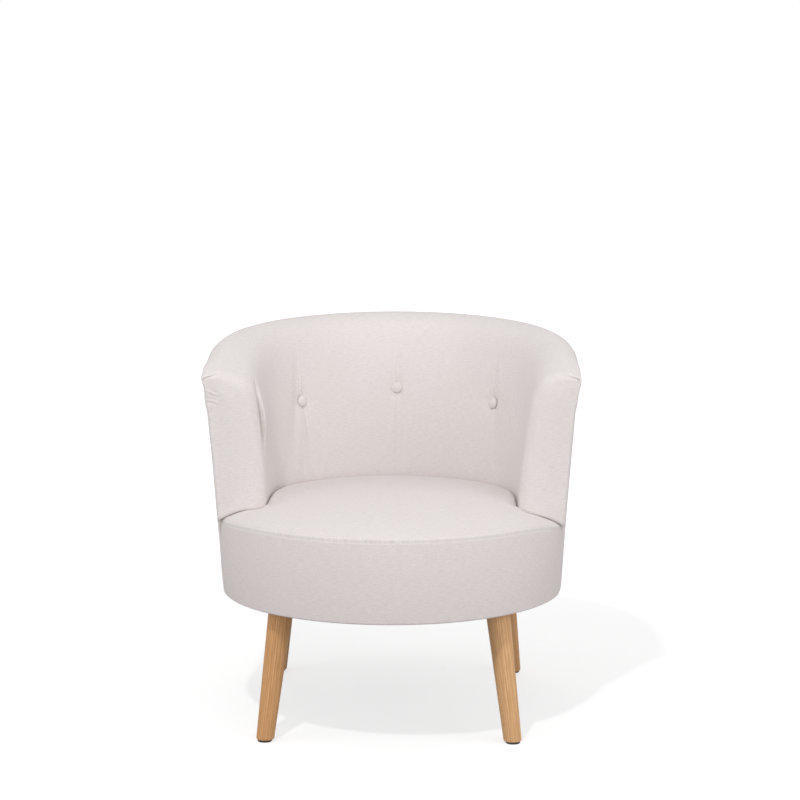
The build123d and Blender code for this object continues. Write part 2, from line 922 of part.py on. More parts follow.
write("seat_lower_ring", seat_lower_ring())
write("seat_upper_ring", seat_upper_ring())
write("front_spacers", front_spacers())
write("seat_springs", seat_springs())
write("spring_clips", spring_clips())
write("spring_felt", spring_felt())
write("seat_foam", seat_foam())
write("seat_wadding", seat_wadding())
write("seat_cover", seat_cover())
write("seat_border_board", seat_border_board())
write("seat_border_foam", seat_border_foam())
write("seat_border_cover", seat_border_cover())
write("dust_cover", dust_cover())
write("dust_cover_staples", dust_cover_staples())

for name, station in post_stations().items():
    write(name, post(station))
write("top_rail", top_rail())
write("post_screws", post_screws())
write("rail_screws", rail_screws())
write("inner_board", inner_board())
write("outer_board", outer_board())
write("back_foam", back_foam())
write("rim_pad", rim_pad())
write("inner_back_cover", inner_back_cover())
write("outer_back_cover", outer_back_cover())
for side_name, side in (("left", -1), ("right", 1)):
    write("arm_front_pad_" + side_name, arm_front_pad(side))
    write("arm_front_cover_" + side_name, arm_front_cover(side))

for name, station in zip(("left", "center", "right"), button_stations()):
    write("back_button_" + name, back_button(station))
write("button_twines", joined(button_twine(station) for station in button_stations()))
write("button_washers", joined(button_washer(station) for station in button_stations()))
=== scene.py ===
import math
import bpy
import bmesh
import numpy as np
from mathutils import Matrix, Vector


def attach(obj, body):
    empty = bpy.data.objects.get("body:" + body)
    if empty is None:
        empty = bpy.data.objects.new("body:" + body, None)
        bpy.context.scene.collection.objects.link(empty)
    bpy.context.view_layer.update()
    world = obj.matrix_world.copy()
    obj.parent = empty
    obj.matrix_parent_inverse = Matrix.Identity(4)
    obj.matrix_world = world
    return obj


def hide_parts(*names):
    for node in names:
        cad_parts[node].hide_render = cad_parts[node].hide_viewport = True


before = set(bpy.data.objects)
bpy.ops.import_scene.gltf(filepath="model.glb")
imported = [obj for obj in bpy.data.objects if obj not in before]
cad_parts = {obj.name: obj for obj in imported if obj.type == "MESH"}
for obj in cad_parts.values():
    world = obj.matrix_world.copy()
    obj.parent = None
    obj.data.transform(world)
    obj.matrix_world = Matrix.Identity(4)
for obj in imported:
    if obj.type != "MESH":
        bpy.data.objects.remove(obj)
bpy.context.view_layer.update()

# A barrel chair in a pale woven cloth. It faces -Y. Shapes are worked out in millimetres
# and go into the meshes in metres. A station is a depth ahead of the plan centre (on the
# arms) or an angle round it (on the back), a reach is a distance out from there.
mm = 0.001
quarter = math.pi / 2


class Named(dict):
    # a dictionary whose values are also read by name
    __getattr__ = dict.__getitem__


chair = Named(
    planY=-10.75,
    baseRadius=301.0, legHeight=221.0, seamRadius=304.0,
    crownTop=402.0, crownFall=38.5, crownPower=2.6, endFall=13.0, endPower=9.0,
    tuckDepth=8.0, tuckAcross=29.0, tuckAlong=30.0, tuckY=-98.0,
    rightFall=7.0, rightAcross=(205.0, 262.0), rightAlong=60.0,
    rimRadius=328.0, rimOverhang=4.0, backHeight=696.0, armHeight=608.0,
    rimEven=0.5, rimPower=4, armReach=88.0, armFace=66.0, rimWidth=80.0, rimCrest=30.0,
    rimOuterRound=22.0, tipOuterRound=9.0, rimDepth=36.0, coverLap=12.0,
    seatHalfWidth=221.0, seatBackReach=186.0, seatSquareness=2.5,
    seatLine=376.0, wallFoot=330.0, foamInset=50.6, cloth=1.6,
)
welding = Named(merge=0.02, collapse=0.0005)


def steps(count, stop=1.0):
    # evenly spaced values from 0 to stop, as a column
    return np.linspace(0.0, stop, count)[:, None]


def joined(*parts, axis=0):
    # arrays one after another
    return np.concatenate(parts, axis=axis)


def unit(x):
    # x kept between 0 and 1
    return np.clip(x, 0.0, 1.0)


def wholeTurn(count):
    # evenly spaced angles once round, with the first again at the end
    return np.linspace(0.0, 2 * math.pi, count + 1)


def smooth(x, low, high):
    # 0 below low, 1 above high, and an S curve between
    t = unit((x - low) / (high - low))
    return t * t * (3 - 2 * t)


def window(x, riseFrom, riseTo, fallFrom, fallTo):
    # up by one S curve and down again by another
    return smooth(x, riseFrom, riseTo) * (1 - smooth(x, fallFrom, fallTo))


def bell(x, width):
    # a rounded bump, 1 at x = 0
    return np.exp(-(x / width) ** 2)


def bump(x, height, place, width):
    # a bell of a height at a place
    return height * bell(x - place, width)


def arch(x):
    # a parabola, 0 at x = 0 and x = 1, and 1 halfway
    return 4 * x * (1 - x)


def roundOff(x):
    # what a quarter circle takes off an edge: 1 at x = 0, and nothing from x = 1 on
    return 1 - np.sqrt(np.maximum(0.0, 1 - (1 - unit(x)) ** 2))


def rimTop(depth, angle):
    # rim height: half an even fall from the back and half a fourth-power one toward the arms
    c = chair
    ahead = depth - c.rimRadius * np.cos(angle)
    share = (c.rimRadius + ahead) / (c.rimRadius + c.armReach)
    fall = c.rimEven * share + (1 - c.rimEven) * share ** c.rimPower
    return c.backHeight - (c.backHeight - c.armHeight) * fall


def seatReach(angle):
    # inside of the barrel at the seat: a squarish oval, met by straight arms at the sides
    c = chair
    n = c.seatSquareness
    across = (np.abs(np.sin(angle)) / c.seatHalfWidth) ** n
    along = (np.maximum(0.0, np.cos(angle)) / c.seatBackReach) ** n
    return (across + along) ** (-1 / n)


def outerReach(depth, angle, z):
    # outside of the barrel: a straight flare from the base circle to under the rim
    c = chair
    low = np.sqrt(c.baseRadius ** 2 - depth ** 2)
    top = rimTop(depth, angle) - c.rimOuterRound
    flare = c.rimRadius - c.rimOverhang - low
    return low + flare * (z - c.legHeight) / (top - c.legHeight)


def crownHeight(x, y):
    # seat top: a round dome that falls more at the ends of the seam, with a tuck at the inner
    # corner of each arm front, and the right end a little lower than the left
    c = chair
    away = np.hypot(x, y - c.planY) / c.seamRadius
    side = np.abs(x) / c.seamRadius
    dome = c.crownTop - c.crownFall * away ** c.crownPower - c.endFall * side ** c.endPower
    tuck = bell(np.abs(x) - c.seatHalfWidth, c.tuckAcross) * bell(y - c.tuckY, c.tuckAlong)
    lean = smooth(x, *c.rightAcross) * bell(y - c.tuckY, c.rightAlong)
    return dome - c.tuckDepth * tuck - c.rightFall * lean


def pointsAt(*parts):
    # coordinates side by side, each spread over the whole grid
    return np.stack(np.broadcast_arrays(*parts), axis=-1)


def placed(depth, angle, reach, z):
    # station, reach and height as points
    return pointsAt(reach * np.sin(angle), chair.planY - depth + reach * np.cos(angle), z)


def gridNormals(points):
    # cross product of the two grid directions at every point
    across = np.gradient(points, axis=1)
    along = np.gradient(points, axis=0)
    n = np.cross(across, along)
    return n / np.maximum(np.linalg.norm(n, axis=-1, keepdims=True), 1e-9)


def softened(values, passes, axis=0):
    # repeated 1-2-1 averaging along one grid direction, with the ends kept
    v = np.moveaxis(np.array(values, float), axis, 0)
    for step in range(passes):
        v[1:-1] = (v[:-2] + 2 * v[1:-1] + v[2:]) / 4
    return np.moveaxis(v, 0, axis)


def lengthsAlong(points, axis):
    # running length along one grid direction, in millimetres
    step = np.linalg.norm(np.diff(points, axis=axis), axis=-1)
    start = np.zeros_like(np.take(step, [0], axis=axis))
    return joined(start, np.cumsum(step, axis=axis), axis=axis)


def clothMap(points):
    # weave coordinates of a patch: length round it from its middle, and length up it
    rows, cols = points.shape[:2]
    across = lengthsAlong(points, 1)[rows // 2]
    up = lengthsAlong(points, 0)[:, cols // 2][:, None]
    return pointsAt(across - across[cols // 2], up)


def flatMap(points):
    # weave coordinates straight from above, for hidden faces
    return points[..., :2].copy()


def gridQuads(rows, cols):
    # corner numbers of a grid's quads
    index = np.arange(rows * cols).reshape(rows, cols)
    quads = np.stack([index[:-1, :-1], index[:-1, 1:], index[1:, 1:], index[1:, :-1]], axis=-1)
    return quads.reshape(-1, 4)


def buildPiece(name, patches, material):
    # grids of points become quads, and the patches are welded where they meet
    coords, faces, maps, first = [], [], [], 0
    for points, weave in patches:
        rows, cols = points.shape[:2]
        coords.append(points.reshape(-1, 3))
        maps.append(weave.reshape(-1, 2))
        faces.append(first + gridQuads(rows, cols))
        first += rows * cols
    coords = joined(*coords) * mm
    faces = joined(*faces)
    maps = joined(*maps) * mm
    mesh = bpy.data.meshes.new(name)
    mesh.vertices.add(len(coords))
    mesh.vertices.foreach_set("co", coords.astype(np.float32).ravel())
    mesh.loops.add(faces.size)
    mesh.loops.foreach_set("vertex_index", faces.astype(np.int32).ravel())
    mesh.polygons.add(len(faces))
    mesh.polygons.foreach_set("loop_start", np.arange(0, faces.size, 4, dtype=np.int32))
    mesh.update(calc_edges=True)
    layer = mesh.uv_layers.new(name="weave")
    layer.data.foreach_set("uv", maps[faces.ravel()].astype(np.float32).ravel())
    work = bmesh.new()
    work.from_mesh(mesh)
    bmesh.ops.remove_doubles(work, verts=work.verts, dist=welding.merge * mm)
    bmesh.ops.dissolve_degenerate(work, edges=work.edges, dist=welding.collapse * mm)
    bmesh.ops.recalc_face_normals(work, faces=work.faces)
    work.to_mesh(mesh)
    work.free()
    mesh.polygons.foreach_set("use_smooth", np.ones(len(mesh.polygons), bool))
    mesh.materials.append(material)
    piece = bpy.data.objects.new(name, mesh)
    bpy.context.scene.collection.objects.link(piece)
    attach(piece, "root")
    print("piece", name, "faces", len(mesh.polygons))
    return piece


def strip(first, second, count):
    # straight lines from each point of one curve to the matching point of another
    t = steps(count)
    return first[:, None, :] * (1 - t) + second[:, None, :] * t


def closedPatches(outer, inner, counts):
    # an outer and an inner face, with strips between their first and last rows and columns
    sides = np.s_[0], np.s_[-1], np.s_[:, 0], np.s_[:, -1]
    edges = [strip(outer[side], inner[side], count) for side, count in zip(sides, counts)]
    return [(outer, clothMap(outer))] + [(grid, flatMap(grid)) for grid in [inner] + edges]


# Materials. A noise is given as its scale in each direction, its detail and its roughness,
# a mask as pairs of a noise value and the strength there, a relief as its strength and its depth.

def nodeTree(name):
    # a new material with its nodes and its shader
    material = bpy.data.materials.new(name)
    material.use_nodes = True
    return material, material.node_tree, material.node_tree.nodes["Principled BSDF"]


def emptyTree(owner):
    # the nodes of a world or material, cleared
    owner.use_nodes = True
    owner.node_tree.nodes.clear()
    return owner.node_tree


def connect(tree, node, inputs):
    # an input is linked where a socket is given for it, and set where a value is
    for key, value in inputs.items():
        if isinstance(value, bpy.types.NodeSocket):
            tree.links.new(value, node.inputs[key])
        else:
            node.inputs[key].default_value = value


def addNode(tree, kind, inputs=None, **settings):
    # a new shader node of a kind, with its settings and inputs
    node = tree.nodes.new("ShaderNode" + kind)
    for key, value in settings.items():
        setattr(node, key, value)
    connect(tree, node, inputs or {})
    return node


def objectPlace(tree):
    # object coordinates in metres
    return addNode(tree, "TexCoord").outputs["Object"]


def scaledNoise(tree, vector, scale, detail, roughness):
    # noise stretched by a different scale in each direction
    stretch = addNode(tree, "Mapping", {"Vector": vector, "Scale": scale}).outputs["Vector"]
    settings = {"Vector": stretch, "Scale": 1.0, "Detail": detail, "Roughness": roughness}
    return addNode(tree, "TexNoise", settings).outputs["Fac"]


def noises(tree, vector, settings, *keys):
    # the named noises of a material
    return [scaledNoise(tree, vector, *settings[key]) for key in keys]


def colour(values, tone=(1.0, 1.0, 1.0)):
    # a colour times a tone, opaque
    return (*np.multiply(values, tone), 1.0)


def grey(value):
    # one value in all three channels
    return colour((value, value, value))


def ramp(tree, factor, stops):
    # colours at places along a factor, and straight changes between them
    node = addNode(tree, "ValToRGB", {"Fac": factor})
    for mark, (place, shade) in zip(node.color_ramp.elements, stops):
        mark.position = place
        mark.color = shade
    return node.outputs["Color"]


def mask(tree, factor, stops):
    # a ramp between two greys
    return ramp(tree, factor, [(place, grey(value)) for place, value in stops])


def maths(tree, operation, a, b=0.0):
    # one sum with one or two terms
    return addNode(tree, "Math", {0: a, 1: b}, operation=operation).outputs[0]


def plus(tree, a, b):
    # a + b
    return maths(tree, "ADD", a, b)


def times(tree, a, b):
    # a times b
    return maths(tree, "MULTIPLY", a, b)


def mixed(tree, factor, under, over):
    # one colour laid over another by a factor
    return addNode(tree, "Mix", {0: factor, 6: under, 7: over}, data_type="RGBA").outputs[2]


def layered(tree, base, layers):
    # colours laid over a base in turn, each where the mask of its noise says
    for noise, stops, over in layers:
        base = mixed(tree, mask(tree, noise, stops), base, over)
    return base


def addBump(tree, shader, height, strength, distance):
    # relief from a height
    bump = addNode(tree, "Bump", {"Strength": strength, "Distance": distance, "Height": height})
    connect(tree, shader, {"Normal": bump.outputs["Normal"]})


linen = Named(
    light=(0.850, 0.801, 0.789), dark=(0.720, 0.664, 0.648), warm=(0.796, 0.740, 0.714),
    # the border's copy of the same linen is tinted a little pinker and darker: painted warm bounce light from
    # the walls, not a different cloth
    borderTone=(0.996, 0.978, 0.984), threadsPerMetre=1050.0,
    slub=((85.0, 900.0, 1.0), 3.0, 0.6), lane=((900.0, 85.0, 1.0), 2.0, 0.5),
    fleck=((420.0, 520.0, 1.0), 3.0, 0.65), cloud=((9.0, 9.0, 1.0), 3.0, 0.5),
    slubDark=0.30, slubLight=0.62, fleckMask=((0.42, 0.0), (0.68, 0.62)),
    cloudMask=((0.40, 0.0), (0.70, 0.35)), laneMask=((0.34, 0.30), (0.55, 0.0)),
    crossingRelief=0.30, slubRelief=1.3, laneRelief=0.5, relief=(0.55, 0.0005),
    roughness=0.92, specular=0.15, sheen=0.2, sheenRoughness=0.5,
)


def wovenLinen(name, tone=(1.0, 1.0, 1.0)):
    # two crossing sets of threads, thick and thin places along the weft, and a pale fleck
    s = linen
    light, dark, warm = (colour(s[key], tone) for key in ("light", "dark", "warm"))
    material, tree, shader = nodeTree(name)
    weave = addNode(tree, "UVMap", uv_map="weave").outputs["UV"]
    parts = addNode(tree, "SeparateXYZ", {"Vector": weave}).outputs
    turn = 2 * math.pi * s.threadsPerMetre
    warp, weft = (maths(tree, "SINE", times(tree, parts[axis], turn)) for axis in ("X", "Y"))
    slub, lane, fleck, cloud = noises(tree, weave, s, "slub", "lane", "fleck", "cloud")
    base = ramp(tree, slub, [(s.slubDark, dark), (s.slubLight, light)])
    base = layered(tree, base, ((fleck, s.fleckMask, light), (cloud, s.cloudMask, warm),
                                (lane, s.laneMask, dark)))
    crossing = times(tree, times(tree, warp, weft), s.crossingRelief)
    height = plus(tree, crossing, times(tree, slub, s.slubRelief))
    height = plus(tree, height, times(tree, lane, s.laneRelief))
    addBump(tree, shader, height, *s.relief)
    connect(tree, shader, {"Base Color": base, "Roughness": s.roughness, "Specular IOR Level": s.specular,
                           "Sheen Weight": s.sheen, "Sheen Roughness": s.sheenRoughness})
    return material


oak = Named(
    pale=(0.745, 0.450, 0.232), mid=(0.640, 0.355, 0.168), dark=(0.450, 0.228, 0.098),
    wander=((22.0, 22.0, 2.2), 3.0, 0.5), fibre=((520.0, 520.0, 16.0), 3.0, 0.6),
    pore=((1300.0, 1300.0, 45.0), 2.0, 0.5), cloud=((26.0, 26.0, 7.0), 2.0, 0.5),
    ringsPerMetre=260.0, ringAside=0.030, ringWander=14.0, ringMid=0.55,
    fibreMask=((0.36, 0.55), (0.60, 0.0)), cloudMask=((0.40, 0.0), (0.68, 0.40)),
    poreMask=((0.60, 0.0), (0.70, 0.60)), roughMask=((0.30, 0.65), (0.70, 0.49)),
    fibreRelief=0.6, relief=(0.35, 0.0003), specular=0.22,
)


def oiledOak(name, top, foot, tone):
    # growth rings round a line beside the leg, long fibres, and short dark pores along the grain
    s = oak
    pale, mid, dark = (colour(s[key], tone) for key in ("pale", "mid", "dark"))
    material, tree, shader = nodeTree(name)
    way = Vector(np.subtract(top, foot) * mm).normalized()
    turn = way.rotation_difference(Vector((0.0, 0.0, 1.0)))
    shift = -(turn.to_matrix() @ Vector(np.array(foot) * mm))
    along = {"Vector": objectPlace(tree), "Rotation": turn.to_euler(), "Location": shift}
    local = addNode(tree, "Mapping", along).outputs["Vector"]
    wander, fibre, pore, cloud = noises(tree, local, s, "wander", "fibre", "pore", "cloud")
    parts = addNode(tree, "SeparateXYZ", {"Vector": local}).outputs
    across = plus(tree, parts["X"], s.ringAside)
    away = maths(tree, "SQRT", plus(tree, times(tree, across, across), times(tree, parts["Y"], parts["Y"])))
    phase = times(tree, away, 2 * math.pi * s.ringsPerMetre)
    phase = plus(tree, phase, times(tree, wander, s.ringWander))
    ring = times(tree, plus(tree, maths(tree, "SINE", phase), 1.0), 0.5)
    base = ramp(tree, ring, [(0.0, pale), (s.ringMid, mid)])
    base = layered(tree, base, ((fibre, s.fibreMask, dark), (cloud, s.cloudMask, mid)))
    pores = mask(tree, pore, s.poreMask)
    height = maths(tree, "SUBTRACT", times(tree, fibre, s.fibreRelief), pores)
    addBump(tree, shader, height, *s.relief)
    connect(tree, shader, {"Base Color": mixed(tree, pores, base, dark), "Specular IOR Level": s.specular,
                           "Roughness": mask(tree, fibre, s.roughMask)})
    return material


grain = Named(noiseRoughness=0.6, rougher=0.08, smoother=0.06, bumpStrength=0.5)


def grainy(name, dark, light, scale, rough, relief, low=0.35, high=0.65, metal=0.0, detail=3.0):
    # two tones mixed by stretched noise, which also sets the roughness and a fine relief
    material, tree, shader = nodeTree(name)
    speck = scaledNoise(tree, objectPlace(tree), scale, detail, grain.noiseRoughness)
    base = ramp(tree, speck, [(low, colour(dark)), (high, colour(light))])
    shade = mask(tree, speck, [(low, min(1.0, rough + grain.rougher)), (high, rough - grain.smoother)])
    addBump(tree, shader, speck, grain.bumpStrength, relief)
    connect(tree, shader, {"Base Color": base, "Roughness": shade, "Metallic": metal})
    return material


plywood = Named(
    pale=(0.66, 0.50, 0.33), dark=(0.44, 0.30, 0.18), plyThickness=0.0016,
    grain=((18.0, 420.0, 420.0), 4.0, 0.6), grainDark=0.30, grainPale=0.65,
    layerMask=((0.35, 0.45), (0.60, 0.0)), roughness=0.75, relief=(0.4, 0.0003),
)


def layeredPly(name):
    # level layers, every second one darker, with grain drawn out along X
    s = plywood
    pale, dark = colour(s.pale), colour(s.dark)
    material, tree, shader = nodeTree(name)
    place = objectPlace(tree)
    parts = addNode(tree, "SeparateXYZ", {"Vector": place}).outputs
    layer = maths(tree, "SINE", times(tree, parts["Z"], math.pi / s.plyThickness))
    streak = scaledNoise(tree, place, *s.grain)
    base = ramp(tree, streak, [(s.grainDark, dark), (s.grainPale, pale)])
    base = layered(tree, base, ((layer, s.layerMask, dark),))
    addBump(tree, shader, streak, *s.relief)
    connect(tree, shader, {"Base Color": base, "Roughness": s.roughness})
    return material


fabric = wovenLinen("paleLinen")
# the seat border is the same linen as the rest, with a painted pinker, darker bounce light in its colour
borderFabricPaintedBounce = wovenLinen("borderLinenPaintedBounce", linen.borderTone)
print("stage: cloth finish made")


# Cloth settling: used on the padded wall and the seat

cloth = Named(
    frames=20, cap=3.0,
    rules={"quality": 6, "mass": 0.25, "tension_stiffness": 30.0, "compression_stiffness": 30.0,
           "bending_stiffness": 2.0, "use_pressure": True, "uniform_pressure_force": 4.0,
           "vertex_group_mass": "held"},
)


def picked(count, few):
    # about so few of a grid's rows or columns, evenly spread
    return np.unique(np.linspace(0, count - 1, few).round().astype(int))


def weights(count, pick):
    # straight-line weights that carry values from the picked rows or columns to all of them
    return np.stack([np.interp(np.arange(count), pick, one) for one in np.eye(len(pick))], axis=1)


def carried(moves, grid, rowPick, colPick):
    # the coarse moves at every point of the grid
    rows, cols = grid.shape[:2]
    return np.einsum("ri,ijk,cj->rck", weights(rows, rowPick), moves, weights(cols, colPick))


def settledMove(name, grid, held, facing):
    # a coarse copy is blown up as cloth held at its fixed points; the moves come back, capped
    rows, cols = grid.shape[:2]
    quads = gridQuads(rows, cols)
    mesh = bpy.data.meshes.new(name)
    mesh.from_pydata((grid.reshape(-1, 3) * mm).tolist(), [], quads.tolist())
    mesh.update()
    if np.array(mesh.polygons[len(quads) // 2].normal) @ np.array(facing) < 0:
        mesh.flip_normals()
    sheet = bpy.data.objects.new(name, mesh)
    scene = bpy.context.scene
    scene.collection.objects.link(sheet)
    fixed = sheet.vertex_groups.new(name="held")
    fixed.add(np.flatnonzero(held.ravel() > 0.5).tolist(), 1.0, "REPLACE")
    modifier = sheet.modifiers.new("cloth", "CLOTH")
    for key, value in cloth.rules.items():
        setattr(modifier.settings, key, value)
    modifier.settings.effector_weights.gravity = 0.0
    modifier.point_cache.frame_start = 1
    modifier.point_cache.frame_end = cloth.frames
    for step in range(1, cloth.frames + 1):
        scene.frame_set(step)
    settled = sheet.evaluated_get(bpy.context.evaluated_depsgraph_get()).to_mesh()
    after = np.empty(rows * cols * 3, np.float32)
    settled.vertices.foreach_get("co", after)
    move = after.reshape(rows, cols, 3) / mm - grid
    size = np.linalg.norm(move, axis=-1, keepdims=True)
    move = move * (cloth.cap / (cloth.cap + size))
    scene.frame_set(1)
    bpy.data.objects.remove(sheet)
    bpy.data.meshes.remove(mesh)
    print("settled", name, "largest move", round(float(np.linalg.norm(move, axis=-1).max()), 2), "mm")
    return move


# The barrel: one padded wall with rolled rim and cushioned arm fronts

barrel = Named(
    columnsOnArm=44, columnsOnBack=320, wallRows=74, rimRows=40, lapRows=14,
    fineColumns=4001, pleatCrowding=4.0, crowdingWidth=5.5,
    innerSoftening=60, outerSoftening=10, outerRowsBefore=8, outerRowsAfter=4, crestRows=12.0,
    channelCrown=5.4, tipDepths=(8.0, 62.0), leftLapCut=0.5, leftLapDepths=(20.0, 60.0),
    fullHeights=(372.0, 406.0, 442.0, 484.0, 528.0, 575.0, 592.0, 606.0),
    fullInward=(3.0, 7.0, 9.5, 10.5, 12.0, 12.5, 10.5, 0.0),
    fullBehind=0.85, fullAhead=0.15, fullAngles=(-88.0, -50.0),
    moveRows=(78, 90), railGap=0.6, returnSteps=(1, 2, 5, 47, 4),
)
crestRow = barrel.wallRows + barrel.rimRows // 2 - 1

# a fold is its place beside the pleat, its width, and its rise above and below the button:
# a broad valley, the deep crease, the raised strip and the shallow crease
pleats = Named(
    angles=(-47.4, 0.6, 50.6), strengths=(1.0, 0.5, 1.0),
    shifts=(-4.5, -1.5, 2.5), slants=(0.105, 0.0, -0.17), shiftOver=15.0,
    buttonDrop=142.0, sideDrop=8.0, sideAngle=48.0,
    tuftDepth=9.0, tuftWidth=15.0, tuftNarrow=1.15, tuftPower=1.4,
    meet=4.0, aboveFade=(12.0, 85.0), belowLeast=0.55, belowGain=0.45, belowFade=-80.0,
    folds=((-6.0, 16.0, -1.6, -0.5), (0.0, 1.3, -2.4, -1.3), (3.4, 2.0, 0.5, 0.8), (6.8, 1.4, -0.7, -0.3)),
)

# four numbers are where a shape starts, is full, starts to fade and ends, and three numbers are the
# size, the place and the width of a bump
armRoll = Named(
    cornerRadius=230.0, proud=3.0, proudBehind=(7.0, 15.0), proudHeights=(392.0, 430.0, 548.0, 590.0),
    creaseDeepest=(6.0, 535.0, 70.0), creaseLeast=1.6,
    creaseBehind=12.0, creaseWidth=4.0, creaseHeights=(385.0, 410.0, 575.0, 596.0), line=(1.4, 12.0, 3.0),
    lensHeight=530.0, lensLength=40.0, lensDepth=15.0, pocketBehind=(7.0, 13.0, 26.0, 33.0),
    lensSwell=8.0, swellBehind=(26.0, 34.0, 38.0, 130.0),
    lensOverhang=15.0, overhangBehind=(24.0, 34.0, 36.0, 64.0),
)

wallCloth = Named(
    rows=44, columns=150, heldRows=3, heldFrom=86, heldArm=44.0,
    facing=(0.0, -1.0, 0.2), evening=12,
)


def pleatColumns():
    # angles round the back, packed closer beside each pleat
    fine = np.linspace(-90.0, 90.0, barrel.fineColumns)
    density = np.full_like(fine, 1.0)
    for pleat in pleats.angles:
        density += barrel.pleatCrowding * bell(fine - pleat, barrel.crowdingWidth)
    total = joined([0.0], np.cumsum((density[1:] + density[:-1]) / 2))
    share = np.linspace(0.0, total[-1], barrel.columnsOnBack)
    return np.radians(np.interp(share, total, fine))


def barrelColumns():
    # left arm from its front, round the back, right arm to its front
    arm = np.linspace(chair.armFace, 0.0, barrel.columnsOnArm, endpoint=False)
    back = pleatColumns()
    depth = joined(arm, np.zeros_like(back), arm[::-1])
    angle = joined(np.full_like(arm, -quarter), back, np.full_like(arm, quarter))
    return depth, angle


def nearColumn(depth, angle, at):
    # number of the column of the back nearest an angle
    return int(np.argmin(np.abs(angle - at) + depth))


def leftFullness(depth, angle, z, rim):
    # how much fuller the left arm is than the right: most at its front, none by the back corner
    c = chair
    b = barrel
    share = (z - c.seatLine) / (rim - c.seatLine)
    level = c.seatLine + share * (c.armHeight - c.seatLine)
    full = np.interp(level, b.fullHeights, b.fullInward)
    onArm = b.fullBehind + b.fullAhead * depth / c.armFace
    onBack = 1 - smooth(angle, *np.radians(b.fullAngles))
    return full * (onArm * onBack)


def wallProfile(depth, angle):
    # rows of reach and height: up the inside wall, over two quarter ellipses, down the lap
    c = chair
    b = barrel
    rim = rimTop(depth, angle)
    plain = seatReach(angle)
    shoulder = rim - c.rimDepth
    inner = c.rimRadius - c.rimWidth
    crest = c.rimRadius - c.rimCrest
    z = c.wallFoot + (shoulder - c.wallFoot) * steps(b.wallRows)
    rise = unit((z - c.seatLine) / (shoulder - c.seatLine))
    facing = np.where(depth > 0, 0.0, np.cos(angle))
    reach = plain + (inner - plain) * rise - b.channelCrown * facing * arch(rise)
    q = steps(b.rimRows // 2 + 1, quarter)[1:]
    inReach = crest - (crest - inner) * np.cos(q) + 0 * rim
    inZ = shoulder + c.rimDepth * np.sin(q)
    outReach = crest + c.rimCrest * np.sin(q) + 0 * rim
    toTip = smooth(depth, *b.tipDepths)
    outRound = c.rimOuterRound - (c.rimOuterRound - c.tipOuterRound) * toTip
    outZ = rim - outRound + outRound * np.cos(q)
    # the lap draws in to the outside panel, at the left tip over a shorter way
    s = steps(b.lapRows + 1)[1:]
    lapEnd = rim - c.rimDepth - c.coverLap
    lapZ = rim - outRound + (lapEnd - rim + outRound) * s
    way = 1.0 - b.leftLapCut * (angle < 0) * smooth(depth, *b.leftLapDepths)
    drawIn = outerReach(depth, angle, lapEnd) - c.rimRadius
    lapReach = c.rimRadius + drawIn * smooth(s / way, 0.0, 1.0)
    reach = joined(reach, inReach, outReach, lapReach)
    z = joined(z, inZ, outZ, lapZ)
    # the inside is rounded over more broadly than the outside, and the crest keeps its height
    row = np.arange(len(z))[:, None]
    outer = smooth(row, crestRow - b.outerRowsBefore, crestRow + b.outerRowsAfter)

    def eased(values):
        # softened broadly inside the crest and less outside it
        broad = softened(values, b.innerSoftening)
        return broad * (1 - outer) + softened(values, b.outerSoftening) * outer
    reach = eased(reach)
    z = eased(z)
    z = z + (rim - z.max(axis=0)) * bell(row - crestRow, b.crestRows)
    return reach - leftFullness(depth, angle, z, rim) * (row <= crestRow), z


def buttonHeight(angle):
    # side buttons sit a little lower under the rim than the middle one
    aside = np.minimum(1.0, np.abs(angle) / math.radians(pleats.sideAngle))
    return rimTop(0.0, angle) - pleats.buttonDrop - pleats.sideDrop * aside


def pleatMove(depth, angle, reach, z):
    # how far the cloth moves into the room: back at the buttons, and by the folds of a narrow
    # tuck above and below each one
    p = pleats
    move = np.zeros_like(z)
    for pleat, strength, shift, slant in zip(p.angles, p.strengths, p.shifts, p.slants):
        centre = math.radians(pleat)
        aside = (angle - centre) * reach
        h = z - buttonHeight(centre)
        s = aside - shift * smooth(h, 0.0, p.shiftOver) + slant * np.minimum(h, 0.0)
        upper = smooth(h, -p.meet, p.meet)
        above = (1 - smooth(h, *p.aboveFade)) * upper
        below = (p.belowLeast + p.belowGain * smooth(h, p.belowFade, 0.0)) * (1 - upper)
        away = np.hypot(aside * p.tuftNarrow, h) / p.tuftWidth
        drawn = -p.tuftDepth * np.exp(-away ** p.tuftPower)
        for place, width, over, under in p.folds:
            drawn = drawn + bump(s, strength, place, width) * (over * above + under * below)
        move += (depth == 0) * drawn
    return move


def armRollMove(depth, angle, z):
    # the right arm front stands proud of the wall with a crease behind it; on the left the wall
    # behind the front swells out past a deeper crease, so the crease opens toward the front
    a = armRoll
    behind = chair.armFace - depth + (quarter - np.abs(angle)) * a.cornerRadius
    creased = window(z, *a.creaseHeights)
    proud = a.proud * (1 - smooth(behind, *a.proudBehind)) * window(z, *a.proudHeights)
    deep = (bump(z, *a.creaseDeepest) + a.creaseLeast) * creased
    right = proud - deep * bell(behind - a.creaseBehind, a.creaseWidth)
    lens = bell(z - a.lensHeight, a.lensLength)
    pocket = a.lensDepth * lens * window(behind, *a.pocketBehind)
    swell = a.lensSwell * lens * window(behind, *a.swellBehind)
    left = swell - pocket - creased * bump(behind, *a.line)
    return np.where(angle < 0, left, right)


def foldAhead(depth, angle, z):
    # how far the swollen wall of the left arm leans forward over its crease
    a = armRoll
    behind = chair.armFace - depth
    onLeftArm = (angle < 0) & (depth > 0)
    lens = bell(z - a.lensHeight, a.lensLength)
    return a.lensOverhang * lens * window(behind, *a.overhangBehind) * onLeftArm


depth, angle = barrelColumns()
wallReach, wallZ = wallProfile(depth, angle)
wall = placed(depth, angle, wallReach, wallZ)
wallWeave = clothMap(wall)
wallNormal = gridNormals(wall)

